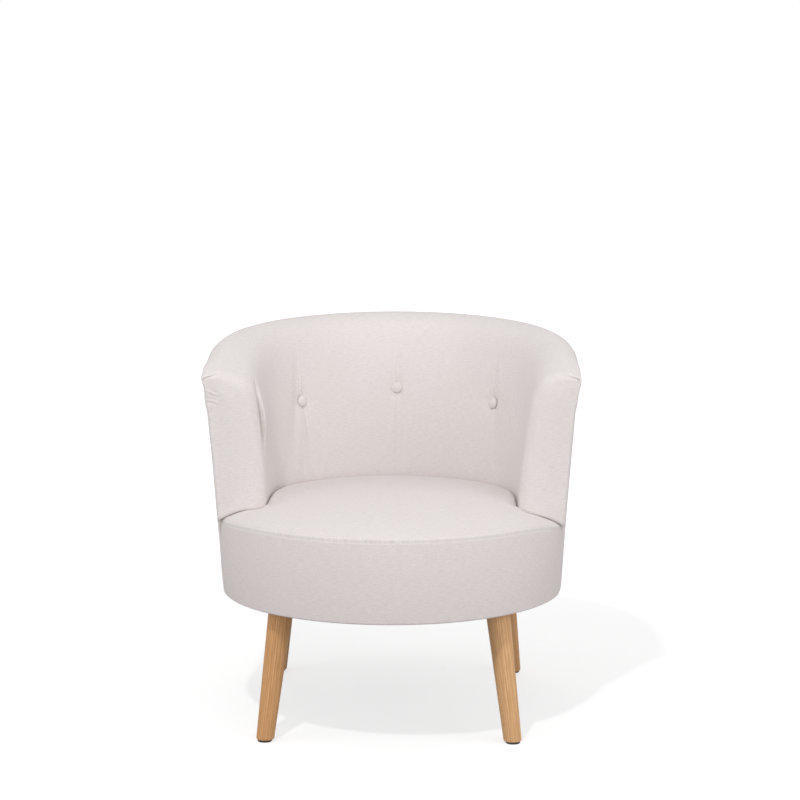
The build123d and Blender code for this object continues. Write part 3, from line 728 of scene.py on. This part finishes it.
# the wall cloth is held along its edges, at the arm fronts and down the pleats
rowPick = picked(wall.shape[0], wallCloth.rows)
colPick = picked(wall.shape[1], wallCloth.columns)
coarse = wall[np.ix_(rowPick, colPick)]
held = np.zeros(coarse.shape[:2])
held[:wallCloth.heldRows] = 1.0
held[rowPick >= wallCloth.heldFrom] = 1.0
held[:, depth[colPick] > wallCloth.heldArm] = 1.0
for pleat in pleats.angles:
    held[:, nearColumn(depth[colPick], angle[colPick], math.radians(pleat))] = 1.0
coarseMove = settledMove("wallCloth", coarse, held, wallCloth.facing)
spread = softened(carried(coarseMove, wall, rowPick, colPick), wallCloth.evening)
wall = wall + softened(spread, wallCloth.evening, axis=1)

insideRows = 1 - smooth(np.arange(wall.shape[0])[:, None], *barrel.moveRows)
wallMove = (pleatMove(depth, angle, wallReach, wallZ) + armRollMove(depth, angle, wallZ)) * insideRows
wallPlain = wall.copy()
wall = wall + wallNormal * wallMove[..., None]
wall[..., 1] -= foldAhead(depth, angle, wallZ) * insideRows


def returnCurve(depth, angle):
    # hidden side of the wall: under the lap, over the rail, down the inner board, back to the foot
    c = chair
    rim = rimTop(depth, angle)
    lapEnd = rim - c.rimDepth - c.coverLap
    over = rim - c.rimDepth + barrel.railGap
    foot = np.full_like(rim, c.wallFoot)
    corners = [
        (outerReach(depth, angle, lapEnd), lapEnd),
        (outerReach(depth, angle, lapEnd) - c.cloth, lapEnd),
        (outerReach(depth, angle, over) - c.cloth, over),
        (outerReach(depth, angle, over) - c.foamInset, over),
        (outerReach(depth, angle, foot) - c.foamInset, foot),
        (seatReach(angle), foot),
    ]
    reaches, heights = [], []
    for (r0, z0), (r1, z1), count in zip(corners, corners[1:], barrel.returnSteps):
        t = steps(count + 1)[:-1]
        reaches.append(r0 + (r1 - r0) * t)
        heights.append(z0 + (z1 - z0) * t)
    reach = joined(*reaches, corners[-1][0][None, :])
    z = joined(*heights, corners[-1][1][None, :])
    return placed(depth, angle, reach, z)


hidden = returnCurve(depth, angle)
hidden[0] = wall[-1]
hidden[-1] = wall[0]

armTip = Named(
    straightColumns=8, roundColumns=16, faceColumns=24, backColumns=6, footColumns=8,
    padding=22.0, faceCrown=2.5, crownFrom=0.2, facePower=1.3, middleDrop=44.0,
    slim=2.5, slimOver=30.0, seatClearance=0.8, outerFoot=297.0, middleFoot=258.0,
    insideDrops=(0.0, 14.0, 40.0), insideRounds=(13.0, 16.0, 19.0),
    outsideDrops=(0.0, 1.0, 12.0, 40.0), outsideRounds=(13.0, 4.0, 4.0, 6.5), roundEvening=6,
    seatedShare=0.3, liftOver=0.9, fallHeights=(450.0, 600.0), curlHeight=7.0, curlDepth=4.0,
    foldReach=(296.0, 306.0), foldDrops=(8.0, 15.0), foldRowsBefore=4,
    lip=(0.9, 1.5, 2.0), groove=(1.8, 5.2, 1.5),
    gatherHeights=(584.0, 577.5, 569.5), gatherDepth=1.3, gatherReach=(293.0, 305.0),
    gatherInset=(1.0, 5.0), gatherSlope=0.28, gatherEnd=316.0, gatherWidth=1.8, ridge=(0.6, 3.6, 2.2),
)


def armFront(outline, hiddenSide, side):
    # the arm's outline runs straight ahead, rounds over an edge of changing radius, and closes
    # across the face; rows of the inner and the outer half end on the same points of a middle line
    c = chair
    a = armTip
    face = np.array(c.armFace)
    right = np.array(quarter)
    top = outline[crestRow, 2]
    faceY = outline[-1, 1]

    def seatAt(r, ahead):
        # seat height just under a point of the front
        return crownHeight(r * side, faceY - ahead) + a.seatClearance

    def reachAt(line, h):
        # reach of a rising line at a height
        return np.interp(h, np.maximum.accumulate(line[:, 2]), np.abs(line[:, 0]))
    rows = len(hiddenSide)
    lowEnd = seatAt(a.outerFoot, 0.0)
    lapZ = outline[-1, 2]
    lowerZ = lapZ + (lowEnd - lapZ) * np.linspace(0.0, 1.0, rows)
    slim = a.slim * smooth(lapZ - lowerZ, 0.0, a.slimOver)
    lower = pointsAt((outerReach(face, right, lowerZ) - slim) * side, faceY, lowerZ)
    around = joined(outline, lower[1:])
    innerLine = outline[:crestRow + 1]
    outerLine = around[crestRow:][::-1]
    edgeR = np.abs(around[:, 0])[:, None]
    edgeZ = around[:, 2][:, None]
    number = np.arange(len(around))[:, None]
    isInner = number <= crestRow
    # edge radius: broad inside and at the crest, a crisp fold outside it, then the side edge
    drop = top - edgeZ
    inside = np.interp(drop, a.insideDrops, a.insideRounds)
    outside = np.interp(drop, a.outsideDrops, a.outsideRounds)
    edgeRound = softened(np.where(number < crestRow, inside, outside), a.roundEvening)
    # height share of each row, from the seat to the crest, and the point where its pair meets it
    footEdge = np.where(isInner, seatAt(c.seatHalfWidth, a.padding), lowEnd)
    h = np.maximum(edgeZ, footEdge)
    share = unit((h - footEdge) / (top - footEdge))
    shareMid = (share + share[::-1]) / 2
    footMid = seatAt(a.middleFoot, a.padding)
    midZ = np.minimum(footMid + shareMid * (top - footMid), top - a.middleDrop)
    midR = (reachAt(innerLine, midZ) + reachAt(outerLine, midZ)) / 2
    edge = np.where(isInner & (edgeZ < footEdge), reachAt(innerLine, h), edgeR)
    length = np.hypot(midR - edge, midZ - h)
    p = np.linspace(0.0, 1.0, a.straightColumns, endpoint=False)
    q = np.linspace(0.0, quarter, a.roundColumns, endpoint=False)
    f = np.linspace(0.0, 1.0, a.faceColumns) ** a.facePower
    straight = a.padding - edgeRound
    level = a.padding + 0 * edgeRound * f
    ahead = joined(straight * p, straight + edgeRound * np.sin(q), level, axis=1)
    toMiddle = edgeRound + (length - edgeRound) * f
    inset = joined(0 * edge * p, edgeRound * (1 - np.cos(q)), toMiddle, axis=1)
    across = unit(inset / length)
    r = edge + (midR - edge) * across
    lineFoot = footEdge + (footMid - footEdge) * across
    low = 1 - smooth(share + (shareMid - share) * across, 0.0, a.seatedShare)
    z = h + (midZ - h) * across + (seatAt(r, ahead) - lineFoot) * low
    lift = smooth(ahead, 0.0, a.liftOver)
    z = edgeZ + (z - edgeZ) * lift
    unrolled = np.maximum(a.padding - ahead, 0.0) / length
    weave = pointsAt((r - (midR - edge) * unrolled) * side, z - (midZ - h) * unrolled)
    onSeat = seatAt(r, ahead)
    ahead = ahead + a.faceCrown * smooth(across, a.crownFrom, 1.0)
    # the fold at the outer half of the tip: a lip with a groove under it
    foldSide = smooth(edgeR, *a.foldReach) * (1 - smooth(drop, *a.foldDrops))
    foldSide = foldSide * (number >= crestRow - a.foldRowsBefore)
    ahead = ahead + foldSide * (bump(inset, *a.lip) - bump(inset, *a.groove))
    if side < 0:
        # cloth gathered under the fold of the left tip
        place = smooth(r, *a.gatherReach) * smooth(inset, *a.gatherInset) * a.gatherDepth
        for line in a.gatherHeights:
            off = z - (line - a.gatherSlope * (a.gatherEnd - r))
            ahead = ahead - place * (bell(off, a.gatherWidth) - bump(off, *a.ridge))
    fall = rimTop(face, right) - rimTop(face + np.minimum(ahead, a.padding), right)
    z = z - fall * smooth(z, *a.fallHeights)
    # the foot of the front is rounded under where it sits on the seat
    ahead = ahead - lift * np.minimum(ahead, a.curlDepth) * roundOff((z - onSeat) / a.curlHeight)
    front = pointsAt(r * side, faceY - ahead, z)
    front[:, 0] = around
    back = strip(lower, hiddenSide, a.backColumns)
    foot = strip(front[0], front[-1], a.footColumns)
    below = crownHeight(foot[..., 0], foot[..., 1]) + a.seatClearance
    foot[2:, 1:-1, 2] = np.maximum(foot[2:, 1:-1, 2], below[2:, 1:-1])
    return [(front, weave), (back, flatMap(back)), (foot, flatMap(foot))]


patches = [(wall, wallWeave), (hidden, flatMap(hidden))]
for end, side in ((0, -1.0), (-1, 1.0)):
    patches += armFront(wall[:, end], hidden[:, end], side)
barrelPad = buildPiece("barrelPad", patches, fabric)
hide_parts("inner_back_cover", "back_foam", "rim_pad", "arm_front_pad_left",
            "arm_front_pad_right", "arm_front_cover_left", "arm_front_cover_right")
print("stage: barrel made")


# Covered buttons in the tufts

button = Named(
    diameter=21.5, dome=5.4, domePower=0.85, under=2.4, rimDepth=4.6, rows=26, columns=56,
    capShare=0.72, backShrink=0.45, shrinkPower=1.5,
    gathers=14, gatherDepth=0.22, gatherFrom=0.55, gatherFade=0.5,
)


def coveredButton(centre, facing, across, up):
    # a domed cap drawn round its edge to a small flat back, with faint gathers at the edge
    b = button
    t = steps(b.rows)
    turn = wholeTurn(b.columns)
    over = unit(t / b.capShare)
    under = unit((t - b.capShare) / (1 - b.capShare))
    ring = b.diameter / 2 * np.sin(over * quarter) * (1 - b.backShrink * under ** b.shrinkPower)
    high = b.dome * np.cos(over * quarter) ** b.domePower - b.under * np.sin(under * quarter)
    pull = b.gatherDepth * np.cos(b.gathers * turn) * smooth(over, b.gatherFrom, 1.0)
    ring = np.maximum(ring - pull * (1 - b.gatherFade * under), 0.0)
    side = ring * np.cos(turn)
    rise = ring * np.sin(turn)
    points = centre + side[..., None] * across + rise[..., None] * up + (high + 0 * turn)[..., None] * facing
    back = joined(points[-1:], np.broadcast_to(points[-1].mean(axis=0), points[-1:].shape))
    return [(points, pointsAt(side, rise)), (back, back[..., ::2])]


for pleat, node in zip(pleats.angles, ("back_button_left", "back_button_center", "back_button_right")):
    at = math.radians(pleat)
    nearest = nearColumn(depth, angle, at)
    row = int(np.argmin(np.abs(wallZ[:barrel.wallRows, nearest] - buttonHeight(at))))
    facing = wallNormal[row, nearest]
    across = np.array([math.cos(at), -math.sin(at), 0.0])
    up = np.cross(across, facing)
    up = up if up[2] > 0 else -up
    spot = wallPlain[row, nearest] - facing * button.rimDepth
    title = "button" + node.split("_")[-1].capitalize()
    piece = buildPiece(title, coveredButton(spot, facing, across, up), fabric)
    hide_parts(node)
print("stage: buttons made")


# The outside panel of the barrel

panel = Named(
    columnsOnArm=16, columnsOnBack=190, rows=60, edgeRows=12, hemRows=6, edgeRound=5.0,
    hem=32.0, hemFade=2.0, turnColumns=8, turnRound=5.0, turnAhead=1.2, tuck=4.0, puff=0.2,
    topGap=0.5, topTuck=2.0, topTuckFrom=0.985, seamAcross=299.0, borderEnd=294.0,
    stripPoints=(2, 2, 2, 2),
)


def outsidePanel():
    # rows from under the base, round its edge, up the flare to the lap; its front edges turn in
    # to meet the seat border below the arms and the arm fronts above
    c = chair
    o = panel
    start = c.armFace + o.turnAhead - o.turnRound
    arm = np.linspace(start, 0.0, o.columnsOnArm, endpoint=False)[1:]
    back = np.linspace(-quarter, quarter, o.columnsOnBack)
    ends = np.full(o.turnColumns + 2, start)
    straight = np.full(len(ends) + len(arm), quarter)
    depth = joined(ends, arm, np.zeros_like(back), arm[::-1], ends)
    angle = joined(-straight, back, straight)
    foot = c.legHeight
    r = o.edgeRound
    top = rimTop(depth, angle) - c.rimDepth - c.coverLap - o.topGap
    low = outerReach(depth, angle, foot)
    q = steps(o.edgeRows, quarter)
    hemIn = (low - o.hem) + (o.hem - r) * steps(o.hemRows)[:-1]
    edgeReach = low - r + r * np.sin(q)
    edgeZ = foot + r - r * np.cos(q) + 0 * low
    t = steps(o.rows)[1:]
    upZ = foot + r + (top - foot - r) * t
    upReach = outerReach(depth, angle, upZ) + o.puff * arch(t) - o.topTuck * smooth(t, o.topTuckFrom, 1.0)
    reach = joined(hemIn, edgeReach, upReach)
    z = joined(hemIn * 0 + foot, edgeZ, upZ)

    def atEnds(values):
        # values for the columns at both ends, and none between
        spread = np.zeros_like(depth)
        spread[:len(ends)] = values
        spread[-len(ends):] = values[::-1]
        return spread
    # the turned edge: a quarter circle ahead, then straight in behind the border's end
    step = joined(np.linspace(0.0, 1.0, o.turnColumns + 1), [2.0])[::-1]
    bend = unit(step) * quarter
    inward = atEnds(o.turnRound * (1 - np.cos(bend)))
    ahead = atEnds(o.turnRound * np.sin(bend))
    flap = atEnds(unit(step - 1.0))
    seamAt = crownHeight(o.seamAcross, c.planY - c.armFace)
    gapIn = np.where(z < seamAt, np.maximum(reach - o.borderEnd, 0.0) + o.tuck, o.tuck)
    moveIn = (inward + flap * gapIn) * smooth(z, foot, foot + o.hemFade)
    outer = placed(depth + ahead, angle, reach - moveIn, z)
    innerZ = z + c.cloth * unit((foot + r - z) / r)
    inner = placed(depth + np.maximum(ahead - c.cloth, 0.0), angle, reach - moveIn - c.cloth, innerZ)
    return outer, inner


outerBack = buildPiece("outerBackPanel", closedPatches(*outsidePanel(), panel.stripPoints), fabric)
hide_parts("outer_back_cover")
print("stage: outer back made")


# The seat: a crowned cushion, and the padded border under its front

seat = Named(
    frontPoints=220, shelfPoints=16, armPoints=18, backPoints=110, rings=64, ringPower=0.6,
    centreDepth=90.0, play=1.0, armGap=0.6, edgeRound=16.0, edgeDrop=12.0,
    frontRound=7.0, frontDrop=2.2, skirt=24.0, lid=9.6, lidGap=2.0, bodyInset=17.0,
    bottom=326.0, sideRows=7, ledgeRows=3, riseRows=4, underEvery=4,
)
seatCloth = Named(rings=30, columns=130, heldRings=3, facing=(0.0, 0.0, 1.0), evening=8, middleRings=8)


def seatOutline():
    # round front, a step in at each arm front, straight sides between the arms, an oval behind
    c = chair
    s = seat
    start = c.armFace + s.armGap
    w = c.seatHalfWidth - s.play
    limit = math.asin(start / c.seamRadius)
    a = np.linspace(quarter - limit, limit - quarter, s.frontPoints, endpoint=False)
    front = c.seamRadius * pointsAt(np.sin(a), np.cos(a))
    end = c.seamRadius * math.cos(limit)

    def straight(p, q, count):
        # points from p up to q
        t = steps(count + 1)[:-1]
        return np.array(p) * (1 - t) + np.array(q) * t
    shelf = straight((-end, start), (-w, start), s.shelfPoints)
    arm = straight((-w, start), (-w, 0.0), s.armPoints)
    e = np.linspace(-quarter, quarter, s.backPoints, endpoint=False)
    reach = seatReach(e) - s.play
    behind = pointsAt(reach * np.sin(e), -reach * np.cos(e))
    armBack = straight((w, 0.0), (w, start), s.armPoints)
    shelfBack = straight((w, start), (end, start), s.shelfPoints)
    line = joined(front, shelf, arm, behind, armBack, shelfBack, front[:1])
    isFront = np.zeros(len(line))
    isFront[:s.frontPoints + 1] = 1.0
    isFront[-1] = 1.0
    return line, isFront


def seatCushion():
    # rings from a centre out to the outline, on the crown, with the edges rounded down, then the
    # sides, a step in and the flat underside
    c = chair
    s = seat
    line, isFront = seatOutline()
    centre = np.array([0.0, s.centreDepth])
    outward = line - centre
    far = np.linalg.norm(outward, axis=-1)
    f = steps(s.rings) ** s.ringPower

    def levelPoints(flat, z):
        # plan points at a height
        return pointsAt(flat[..., 0], c.planY - flat[..., 1], z)
    flat = centre + outward * f[..., None]
    away = far * (1 - f)
    z = crownHeight(flat[..., 0], c.planY - flat[..., 1])
    z = z - (1 - isFront) * s.edgeDrop * roundOff(away / s.edgeRound)
    z = z - isFront * s.frontDrop * unit(1 - away / s.frontRound) ** 2
    top = levelPoints(flat, z)
    drop = np.where(isFront > 0.5, s.lid - s.lidGap, s.skirt)
    sides = levelPoints(line, z[-1] - drop * steps(s.sideRows))
    shrunk = outward * (1 - s.bodyInset / far)[:, None]
    step = levelPoints(centre + shrunk, sides[-1, :, 2])
    floor = levelPoints(centre + shrunk, s.bottom)
    below = levelPoints(centre + shrunk * f[::-1][::s.underEvery][..., None], s.bottom)
    ledge = np.swapaxes(strip(sides[-1], step, s.ledgeRows), 0, 1)
    rise = np.swapaxes(strip(step, floor, s.riseRows), 0, 1)
    return top, [sides, ledge, rise, below]


top, rest = seatCushion()
topWeave = flatMap(top)
# the seat cloth is held round its outline, and moves only up and down
ringPick = picked(top.shape[0], seatCloth.rings)[1:]
roundPick = picked(top.shape[1], seatCloth.columns)
coarse = top[np.ix_(ringPick, roundPick)]
held = np.zeros(coarse.shape[:2])
held[-seatCloth.heldRings:] = 1.0
coarseMove = settledMove("seatCloth", coarse, held, seatCloth.facing)
coarseMove[..., :2] = 0.0
spread = carried(coarseMove, top, ringPick, roundPick)
middle = spread[:seatCloth.middleRings]
middle[:] = middle.mean(axis=1, keepdims=True)
top = top + softened(spread, seatCloth.evening)
seatTop = buildPiece("seatTop", [(top, topWeave)] + [(p, flatMap(p)) for p in rest], fabric)
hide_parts("seat_cover", "seat_wadding", "seat_foam")

border = Named(
    columns=300, faceRows=46, edgeRows=10, hemRows=6, bulge=4.0, edgeRound=4.0, hem=32.0,
    inside=289.4, insideShare=0.8, seamDrop=3.0, seamGap=1.0, topRound=2.2, topRoundDrop=7.0,
    groove=(0.8, 4.6, 0.55), faceDrop=11.5,
    lipDrops=(0.0, 0.5, 1.1, 1.8, 2.6, 3.3, 3.9, 4.3, 4.6, 4.9, 5.3, 5.9, 6.7, 7.8, 9.2),
    startAhead=1.7, endRoll=1.6, endRollWidth=4.0, hemRise=0.5, stripPoints=(4, 2, 4, 4),
)


def borderProfile(high):
    # rounded top edge, stitched groove, bulging face, rounded lower edge, hem turned under
    c = chair
    b = border
    foot = c.legHeight
    r = b.edgeRound

    def face(height):
        # a straight slope with a bulge
        share = (height - foot) / (high - foot)
        return c.baseRadius + (c.seamRadius - c.baseRadius) * share + b.bulge * arch(share)
    down = np.array(b.lipDrops)[:, None]
    rounding = b.topRound * unit(1 - down / b.topRoundDrop) ** 2
    lipZ = high - down
    lipReach = face(lipZ) - rounding - bump(down, *b.groove)
    start = high - b.faceDrop
    faceZ = start + (foot + r - start) * steps(b.faceRows)
    q = steps(b.edgeRows, quarter)[1:]
    edge = face(foot + r + 0 * high)
    edgeReach = edge - r + r * np.cos(q)
    edgeZ = foot + r - r * np.sin(q) + 0 * high
    hemReach = edge - r + (c.baseRadius - b.hem - edge + r) * steps(b.hemRows)[1:]
    reach = joined(lipReach, face(faceZ), edgeReach, hemReach)
    return reach, joined(lipZ, faceZ, edgeZ, hemReach * 0 + foot)


def seamHeight(a):
    # top of the border round the front, just under the edge of the seat cloth
    c = chair
    return crownHeight(c.seamRadius * np.sin(a), c.planY - c.seamRadius * np.cos(a)) - border.seamDrop


def seatBorder():
    # the profile carried round the front arc, each row as far as the flat plane of the side seams,
    # with both ends rolled in there
    c = chair
    b = border
    start = c.armFace + b.startAhead
    limit = quarter - math.asin(start / c.seamRadius)
    a = np.linspace(-limit, limit, b.columns)

    def carriedRound(reach, z):
        # rows swept round from one side seam to the other
        turn = a * np.arccos(start / reach[:, :1]) / limit
        return pointsAt(reach * np.sin(turn), c.planY - reach * np.cos(turn), z)
    topZ = seamHeight(a)
    reach, z = borderProfile(topZ)
    toEnd = (limit - np.abs(a)) * c.seamRadius
    roll = b.endRoll * roundOff(toEnd / b.endRollWidth)
    face = carriedRound(reach - roll * (z > c.legHeight + b.hemRise), z)
    # the inside goes straight down behind the border, then in along the hem
    t = steps(len(face))
    topIn = topZ - seat.lid - b.seamGap
    insideZ = topIn + (c.legHeight + c.cloth - topIn) * unit(t / b.insideShare)
    hemShare = unit((t - b.insideShare) / (1 - b.insideShare))
    insideReach = b.inside + (c.baseRadius - b.hem - b.inside) * hemShare + 0 * topZ
    return face, carriedRound(insideReach, insideZ)


# the border takes the linen copy that carries the painted bounce light
seatBand = buildPiece("seatBorder", closedPatches(*seatBorder(), border.stripPoints), borderFabricPaintedBounce)
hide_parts("seat_border_cover", "seat_border_foam")
print("stage: seat made")


# Stitches along the seam at the front of the seat

stitching = Named(
    pitch=4.4, length=3.9, radius=0.36, sides=6, rings=6, endGap=7.0,
    lowProud=0.25, upInset=3.4, upSunk=0.05,
)
threadLook = Named(
    dark=(0.66, 0.59, 0.57), light=(0.75, 0.68, 0.66), scale=(900.0, 900.0, 900.0),
    rough=0.8, relief=0.0002,
)


def stitchRow(a, reach, z):
    # a capsule at every angle, lying along the seam
    s = stitching
    t = steps(s.rings)
    turn = wholeTurn(s.sides)
    girth = s.radius * np.sqrt(np.maximum(0.0, 1 - np.abs(2 * t - 1) ** 3))
    along = (t - 0.5) * s.length
    out = girth * np.cos(turn) + reach[:, None, None]
    high = girth * np.sin(turn) + z[:, None, None]
    here = a[:, None, None]
    x = out * np.sin(here) + along * np.cos(here)
    y = chair.planY - out * np.cos(here) + along * np.sin(here)
    return pointsAt(x, y, high)


def seamStitches():
    # one row in the border's groove and one on the edge of the seat
    c = chair
    s = stitching
    limit = quarter - math.asin((c.armFace + s.endGap) / c.seamRadius)
    count = int(2 * limit * c.seamRadius / s.pitch)
    a = np.linspace(-limit, limit, count)
    reach, z = borderProfile(seamHeight(a))
    grooveRow = border.lipDrops.index(border.groove[1])
    lowRow = stitchRow(a, reach[grooveRow] + s.lowProud, z[grooveRow])
    upReach = np.full(count, c.seamRadius - s.upInset)
    onSeat = crownHeight(upReach * np.sin(a), c.planY - upReach * np.cos(a))
    edgeFall = seat.frontDrop * unit(1 - s.upInset / seat.frontRound) ** 2
    upRow = stitchRow(a, upReach, onSeat - edgeFall - s.upSunk)
    return [(stitch, flatMap(stitch)) for stitch in joined(lowRow, upRow)]


patches = seamStitches()
stitches = buildPiece("seamStitches", patches, grainy("paleThread", **threadLook))
print("stage: stitches made", len(patches))


# Dust sheet under the base

dustSheet = Named(
    radius=267.4, gap=0.1, sag=3.5, sagRadius=180.0, rings=60, columns=128,
    thickness=1.2, boltHole=7.0,
)
dustLook = Named(
    dark=(0.018, 0.018, 0.020), light=(0.045, 0.045, 0.048), scale=(700.0, 700.0, 700.0),
    rough=0.95, relief=0.0003,
)
# each leg: the middle of its top, the middle of its foot, and its tone
legs = {
    "leg_front_left": ((-182.43, -193.18, 221.0), (-208.43, -221.18, 0.0), (0.99, 0.95, 0.88)),
    "leg_front_right": ((182.43, -193.18, 221.0), (208.43, -221.18, 0.0), (1.10, 1.15, 1.19)),
    "leg_rear_left": ((-203.77, 160.23, 221.0), (-227.77, 220.23, 0.0), (1.0, 1.0, 1.0)),
    "leg_rear_right": ((203.77, 160.23, 221.0), (227.77, 220.23, 0.0), (1.0, 0.97, 0.94)),
}


def dustGrid():
    # a flat disc that hangs a little in its middle
    d = dustSheet
    r = steps(d.rings, d.radius)
    turn = wholeTurn(d.columns)
    hang = d.sag * unit(1 - (r / d.sagRadius) ** 2) ** 2
    z = chair.legHeight + d.gap - hang
    return pointsAt(r * np.cos(turn), chair.planY + r * np.sin(turn), z)


def cutBoltHoles(mesh):
    # faces with their middle near a leg's bolt go, and the rest are turned to face down
    middles = np.empty(len(mesh.polygons) * 3, np.float32)
    mesh.polygons.foreach_get("center", middles)
    bolts = np.array([top[:2] for top, foot, tone in legs.values()]) * mm
    away = np.linalg.norm(middles.reshape(-1, 1, 3)[..., :2] - bolts, axis=-1).min(axis=1)
    work = bmesh.new()
    work.from_mesh(mesh)
    work.faces.ensure_lookup_table()
    holed = [work.faces[number] for number in np.flatnonzero(away < dustSheet.boltHole * mm)]
    bmesh.ops.delete(work, geom=holed, context="FACES")
    work.to_mesh(mesh)
    work.free()
    if mesh.polygons[0].normal.z > 0:
        mesh.flip_normals()


disc = dustGrid()
dustPiece = buildPiece("dustSheet", [(disc, flatMap(disc))], grainy("blackDustCloth", **dustLook))
cutBoltHoles(dustPiece.data)
thick = dustPiece.modifiers.new("thickness", "SOLIDIFY")
thick.thickness = dustSheet.thickness * mm
thick.offset = -1.0
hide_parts("dust_cover")
print("stage: dust sheet made")


# Finishes of the CAD nodes

# each finish: dark and light tone, noise scale, roughness, relief, what else it needs, and its nodes
finishes = {
    "blackPlastic": ((0.010, 0.010, 0.011), (0.022, 0.022, 0.023), (900.0, 900.0, 900.0), 0.5, 0.0002, {}, (
        "foot_pad_front_left", "foot_pad_front_right", "foot_pad_rear_left", "foot_pad_rear_right")),
    "zincSteel": ((0.42, 0.42, 0.43), (0.62, 0.62, 0.64), (160.0, 160.0, 160.0), 0.38, 0.0001,
                  {"metal": 1.0}, (
        "foot_pad_nails", "hanger_bolts", "insert_nuts", "seat_springs", "spring_clips", "dust_cover_staples",
        "post_screws", "rail_screws", "button_washers")),
    "beech": ((0.42, 0.26, 0.15), (0.62, 0.43, 0.28), (260.0, 260.0, 14.0), 0.62, 0.0003,
              {"low": 0.30, "high": 0.68, "detail": 4.0}, (
        "corner_blocks", "front_spacers", "arm_post_left", "arm_post_right", "side_post_left",
        "side_post_right", "back_post_left", "back_post_right", "top_rail")),
    "fibreboard": ((0.25, 0.16, 0.09), (0.36, 0.24, 0.14), (500.0, 500.0, 500.0), 0.85, 0.0002, {}, (
        "inner_board", "outer_board", "seat_border_board")),
    "greyFelt": ((0.20, 0.19, 0.18), (0.42, 0.40, 0.38), (380.0, 380.0, 380.0), 0.95, 0.0006,
                 {"low": 0.30, "high": 0.70}, ("spring_felt",)),
    "waxedTwine": ((0.52, 0.46, 0.36), (0.72, 0.66, 0.54), (1400.0, 1400.0, 300.0), 0.7, 0.0002, {}, (
        "button_twines",)),
}


def finish(material, *names):
    # the material goes into every slot of the named nodes
    for name in names:
        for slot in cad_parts[name].material_slots:
            slot.material = material


for name, leg in legs.items():
    finish(oiledOak("oak_" + name, *leg), name)
finish(layeredPly("birchPly"), "seat_lower_ring", "seat_upper_ring")
for name, (*look, extra, nodes) in finishes.items():
    finish(grainy(name, *look, **extra), *nodes)
print("stage: finishes made")


# Camera, floor and lights

view = Named(lens=74.295, sensor=36.0, place=(0.0850, -2.9180, 0.8660), azimuth=1.4, pitch=6.11)
studio = Named(
    world=0.46, floorHalf=30.0, floorColour=0.485, floorGlow=0.630, farGlow=1.02,
    glowFrom=0.75, glowTo=2.2, aim=(0.0, 0.0, 0.35),
    lamps={
        "keySoftbox": (36.0, 0.14, (-0.58, -2.0, 3.15)),
        "frontFill": (17.0, 2.0, (0.3, -3.6, 1.3)),
        "rightFrontFill": (13.0, 2.0, (2.2, -2.6, 1.8)),
        "rightSideFill": (22.0, 2.0, (3.0, -1.2, 1.6)),
        "leftSideFill": (19.0, 2.0, (-3.0, -1.2, 1.6)),
        "rearFill": (24.0, 2.5, (-0.6, 3.4, 1.0)),
    },
)


def stood(name, data, place, forward):
    # a camera or lamp at a place, looking forward
    thing = bpy.data.objects.new(name, data)
    thing.location = place
    thing.rotation_euler = forward.to_track_quat("-Z", "Y").to_euler()
    bpy.context.scene.collection.objects.link(thing)
    return thing


def areaLight(name, power, size, place):
    # a square lamp that lights the chair and isn't seen
    data = bpy.data.lights.new(name, "AREA")
    data.energy = power
    data.size = size
    stood(name, data, place, Vector(studio.aim) - Vector(place)).visible_camera = False


def seenRay(tree):
    # 1 on rays that show the surface, straight or mirrored, and 0 on those that carry its light
    path = addNode(tree, "LightPath").outputs
    mirrored = maths(tree, "MAXIMUM", path["Is Glossy Ray"], path["Is Transmission Ray"])
    return maths(tree, "MAXIMUM", path["Is Camera Ray"], mirrored)


def studioWorld():
    # soft light all round, seen as plain white
    world = bpy.data.worlds.new("studio")
    tree = emptyTree(world)
    soft = addNode(tree, "Background", {"Color": grey(1.0), "Strength": studio.world})
    white = addNode(tree, "Background", {"Color": grey(1.0), "Strength": 1.0})
    both = addNode(tree, "MixShader", {0: seenRay(tree), 1: soft.outputs[0], 2: white.outputs[0]})
    addNode(tree, "OutputWorld", {"Surface": both.outputs[0]})
    return world


def floorPaint():
    # a matt floor that glows more away from the chair, where the lamps fade
    paint = bpy.data.materials.new("paleFloor")
    tree = emptyTree(paint)
    matt = addNode(tree, "BsdfDiffuse", {"Color": grey(studio.floorColour)})
    away = addNode(tree, "VectorMath", {0: objectPlace(tree)}, operation="LENGTH").outputs["Value"]
    spread = {"Value": away, "From Min": studio.glowFrom, "From Max": studio.glowTo,
              "To Min": studio.floorGlow, "To Max": studio.farGlow}
    rising = addNode(tree, "MapRange", spread, interpolation_type="SMOOTHSTEP").outputs["Result"]
    strength = times(tree, seenRay(tree), rising)
    glow = addNode(tree, "Emission", {"Color": grey(1.0), "Strength": strength})
    added = addNode(tree, "AddShader", {0: matt.outputs[0], 1: glow.outputs[0]})
    addNode(tree, "OutputMaterial", {"Surface": added.outputs[0]})
    return paint


azimuth, pitch = math.radians(view.azimuth), math.radians(view.pitch)
level = math.cos(pitch)
forward = Vector((-math.sin(azimuth) * level, math.cos(azimuth) * level, -math.sin(pitch)))
cameraData = bpy.data.cameras.new("camera")
cameraData.lens = view.lens
cameraData.sensor_width = view.sensor
bpy.context.scene.camera = stood("camera", cameraData, view.place, forward)
for name, lamp in studio.lamps.items():
    areaLight(name, *lamp)
bpy.context.scene.world = studioWorld()

half = studio.floorHalf
floorMesh = bpy.data.meshes.new("floor")
corners = [(-half, -half, 0), (half, -half, 0), (half, half, 0), (-half, half, 0)]
floorMesh.from_pydata(corners, [], [(0, 1, 2, 3)])
floor = bpy.data.objects.new("floor", floorMesh)
bpy.context.scene.collection.objects.link(floor)
floorMesh.materials.append(floorPaint())
bpy.context.scene.view_settings.view_transform = "Standard"
print("stage: studio made")
